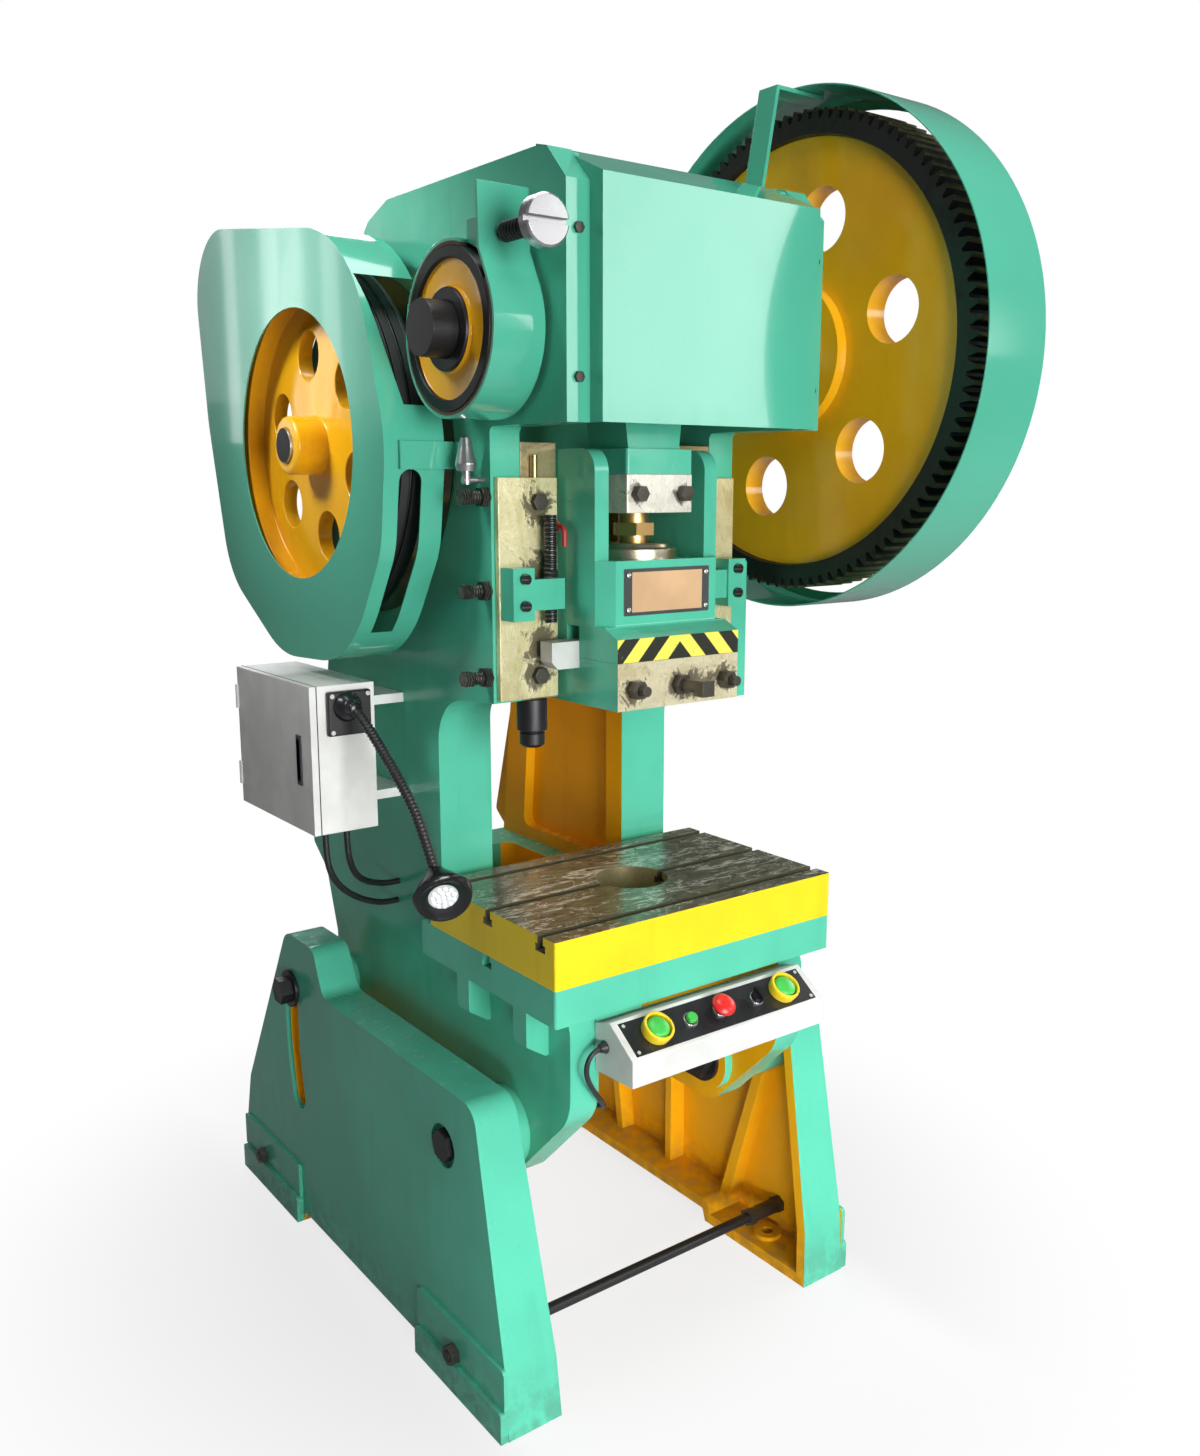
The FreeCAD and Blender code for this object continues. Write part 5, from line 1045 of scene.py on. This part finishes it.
# ---- stage
CAMERA_PLACE = (-1.5696, -2.411, 1.7599)
CAMERA_YAW = 36.838
CAMERA_PITCH = 10.769
FOCAL_PIXELS = 1274.3
LONG_SIDE_PIXELS = 1456
SENSOR = 36
FLOOR_REACH = 14
# Lamps: name, place, target, size, share of the key power, and the spread of a narrow one.
LAMPS = [
    ("front", (-0.6, -5.4, 1.6), (0, -0.3, 0.9), (2.6, 2.4), 0.88),
    ("front_right", (4.1, -5.2, 2.95), (0, -0.66, 2.1), (2.3, 1.8), 0.24),
    ("right", (4.6, -1, 2.8), (0, -0.2, 1.2), (2.2, 2.2), 0.3),
    ("top", (0.2, -0.6, 5.6), (0, 0, 0), (3, 3), 0.5),
    ("back", (1.4, 4.8, 4.6), (0, 0, 1.2), (2.2, 2.2), 0.42),
    ("left_top", (-1.6, 0.3, 3), (-0.45, 0.05, 2.02), (0.7, 0.7), 0.0085, 36),
    ("low_left", (-1.9, -3.6, 0.55), (0.75, 0, 0.35), (0.9, 0.7), 0.011, 36),
    ("left_back", (-3, 6, 3.1), (-0.45, 0.2, 1.9), (3.2, 1.6), 0.018),
]
LAMPS += [("strip", (-2.9, y, 2.9), (-0.45, 0.2, 1.9), (width, 1.7), 0.055 * width)
          for y, width in ((5.0, 0.1), (5.7, 0.26), (6.6, 0.08))]


class PRESS_OT_stage(bpy.types.Operator):
    """Makes the camera, the floor, the lamps and the world"""

    bl_idname = "press.stage"
    bl_label = "Stage"

    def execute(self, context):
        scene = context.scene
        _, _, stage = settings()
        scene.view_settings.view_transform = "Standard"
        self.camera(scene)
        self.floor(tuple(stage.floor))
        self.lamps(stage.key)
        self.world(scene)
        return {"FINISHED"}

    def camera(self, scene):
        data = bpy.data.cameras.new("view")
        data.sensor_width = SENSOR
        data.lens = SENSOR * FOCAL_PIXELS / LONG_SIDE_PIXELS
        data.clip_end = 100
        camera = linked("view", data)
        camera.location = CAMERA_PLACE
        camera.rotation_euler = (math.radians(90 - CAMERA_PITCH), 0, -math.radians(CAMERA_YAW))
        scene.camera = camera

    def floor(self, colour):
        mesh = bpy.data.meshes.new("floor")
        corners = [(x * FLOOR_REACH, y * FLOOR_REACH, 0) for x, y in ((-1, -1), (1, -1), (1, 1), (-1, 1))]
        mesh.from_pydata(corners, [], [(0, 1, 2, 3)])
        mesh.materials.append(floor_material(colour))
        linked("floor", mesh)

    def lamps(self, power):
        for name, place, target, size, share, *spread in LAMPS:
            area(name, place, target, size, power * share, *spread)

    def world(self, scene):
        """Soft room light; the camera, mirrors and glass see a brighter room."""
        world = bpy.data.worlds.new("studio")
        world.use_nodes = True
        scene.world = world
        room = Nodes(world.node_tree)
        room.tree.nodes.clear()
        light = room.node("ShaderNodeBackground", None, {"Color": (0.95, 0.98, 1), "Strength": 0.06})
        for strength, ray in ((0.14, "Is Glossy Ray"), (1, "Is Transmission Ray"), (1, "Is Camera Ray")):
            brighter = room.node("ShaderNodeBackground", None, {"Color": (1, 1, 1), "Strength": strength})
            seen = room.node("ShaderNodeLightPath", output=ray)
            light = room.node("ShaderNodeMixShader", None, {0: seen, 1: light, 2: brighter})
        room.ends("ShaderNodeOutputWorld", light)


def area(name, place, target, size, power, spread=180):
    data = bpy.data.lights.new(name, "AREA")
    data.shape = "RECTANGLE"
    data.size, data.size_y = size
    data.energy, data.spread = power, math.radians(spread)
    lamp = linked(name, data)
    lamp.location = place
    lamp.rotation_euler = (Vector(place) - Vector(target)).to_track_quat("Z", "Y").to_euler()


def floor_material(colour):
    """Pale floor that keeps the shadow near the machine and is as white as the room further away."""
    finish = Finish("studio_floor", Roughness=0.6)
    away = finish.node("ShaderNodeVectorMath", {"operation": "LENGTH"}, {0: finish.place((1, 1, 0))}, "Value")
    outside = finish.axis("X").absolute().step(0.38, 0.55).larger(finish.axis("Y").absolute().step(0.8, 1.3))
    finish.set("Base Color", finish.mix(outside, colour, shade(colour, 0.3)))
    rays = [finish.node("ShaderNodeLightPath", output="Is %s Ray" % kind) for kind in (
        "Camera", "Transmission", "Glossy")]
    seen = rays[0].larger(rays[1]).larger(rays[2] * 0.12)
    whiter = away.step(0.5, 1.5) * 0.22 + 0.78
    glow = finish.node("ShaderNodeEmission", None, {"Color": (1, 1, 1), "Strength": 1})
    mix = finish.node("ShaderNodeMixShader", None, {
        0: seen * whiter, 1: Value(finish, finish.shader.outputs[0]), 2: glow})
    finish.feed(finish.tree.nodes["Material Output"].inputs[0], mix)
    return finish.material


# ---- panel
STEPS = (
    "stage", "cords", "castings", "drive", "brake", "slides", "guards", "cabinet", "lamp", "switches", "nameplate")


class PRESS_PT_panel(bpy.types.Panel):
    """Lists the settings and steps of the press"""

    bl_label = "Press"
    bl_idname = "PRESS_PT_panel"
    bl_space_type = "VIEW_3D"
    bl_region_type = "UI"
    bl_category = "Press"

    def draw(self, context):
        layout = self.layout
        for group in settings():
            for key in group.__annotations__:
                layout.prop(group, key)
        for step in STEPS:
            layout.operator("press." + step)


CLASSES = (
    PressColours, PressSizes, StageSettings, PRESS_OT_stage, PRESS_OT_cords, PRESS_OT_castings, PRESS_OT_drive,
    PRESS_OT_brake, PRESS_OT_slides, PRESS_OT_guards, PRESS_OT_cabinet, PRESS_OT_lamp, PRESS_OT_switches,
    PRESS_OT_nameplate, PRESS_PT_panel)


def register():
    for item in CLASSES:
        bpy.utils.register_class(item)
    bpy.types.Scene.press_colours = bpy.props.PointerProperty(type=PressColours)
    bpy.types.Scene.press_sizes = bpy.props.PointerProperty(type=PressSizes)
    bpy.types.Scene.press_stage = bpy.props.PointerProperty(type=StageSettings)


def unregister():
    for name in ("press_colours", "press_sizes", "press_stage"):
        delattr(bpy.types.Scene, name)
    for item in reversed(CLASSES):
        bpy.utils.unregister_class(item)


def main():
    register()
    make_finishes()
    GROWERS.update(hose=hose_tree(), screw=screw_tree())
    for step in STEPS:
        getattr(bpy.ops.press, step)()
    bpy.context.view_layer.update()


if __name__ == "__main__":
    main()
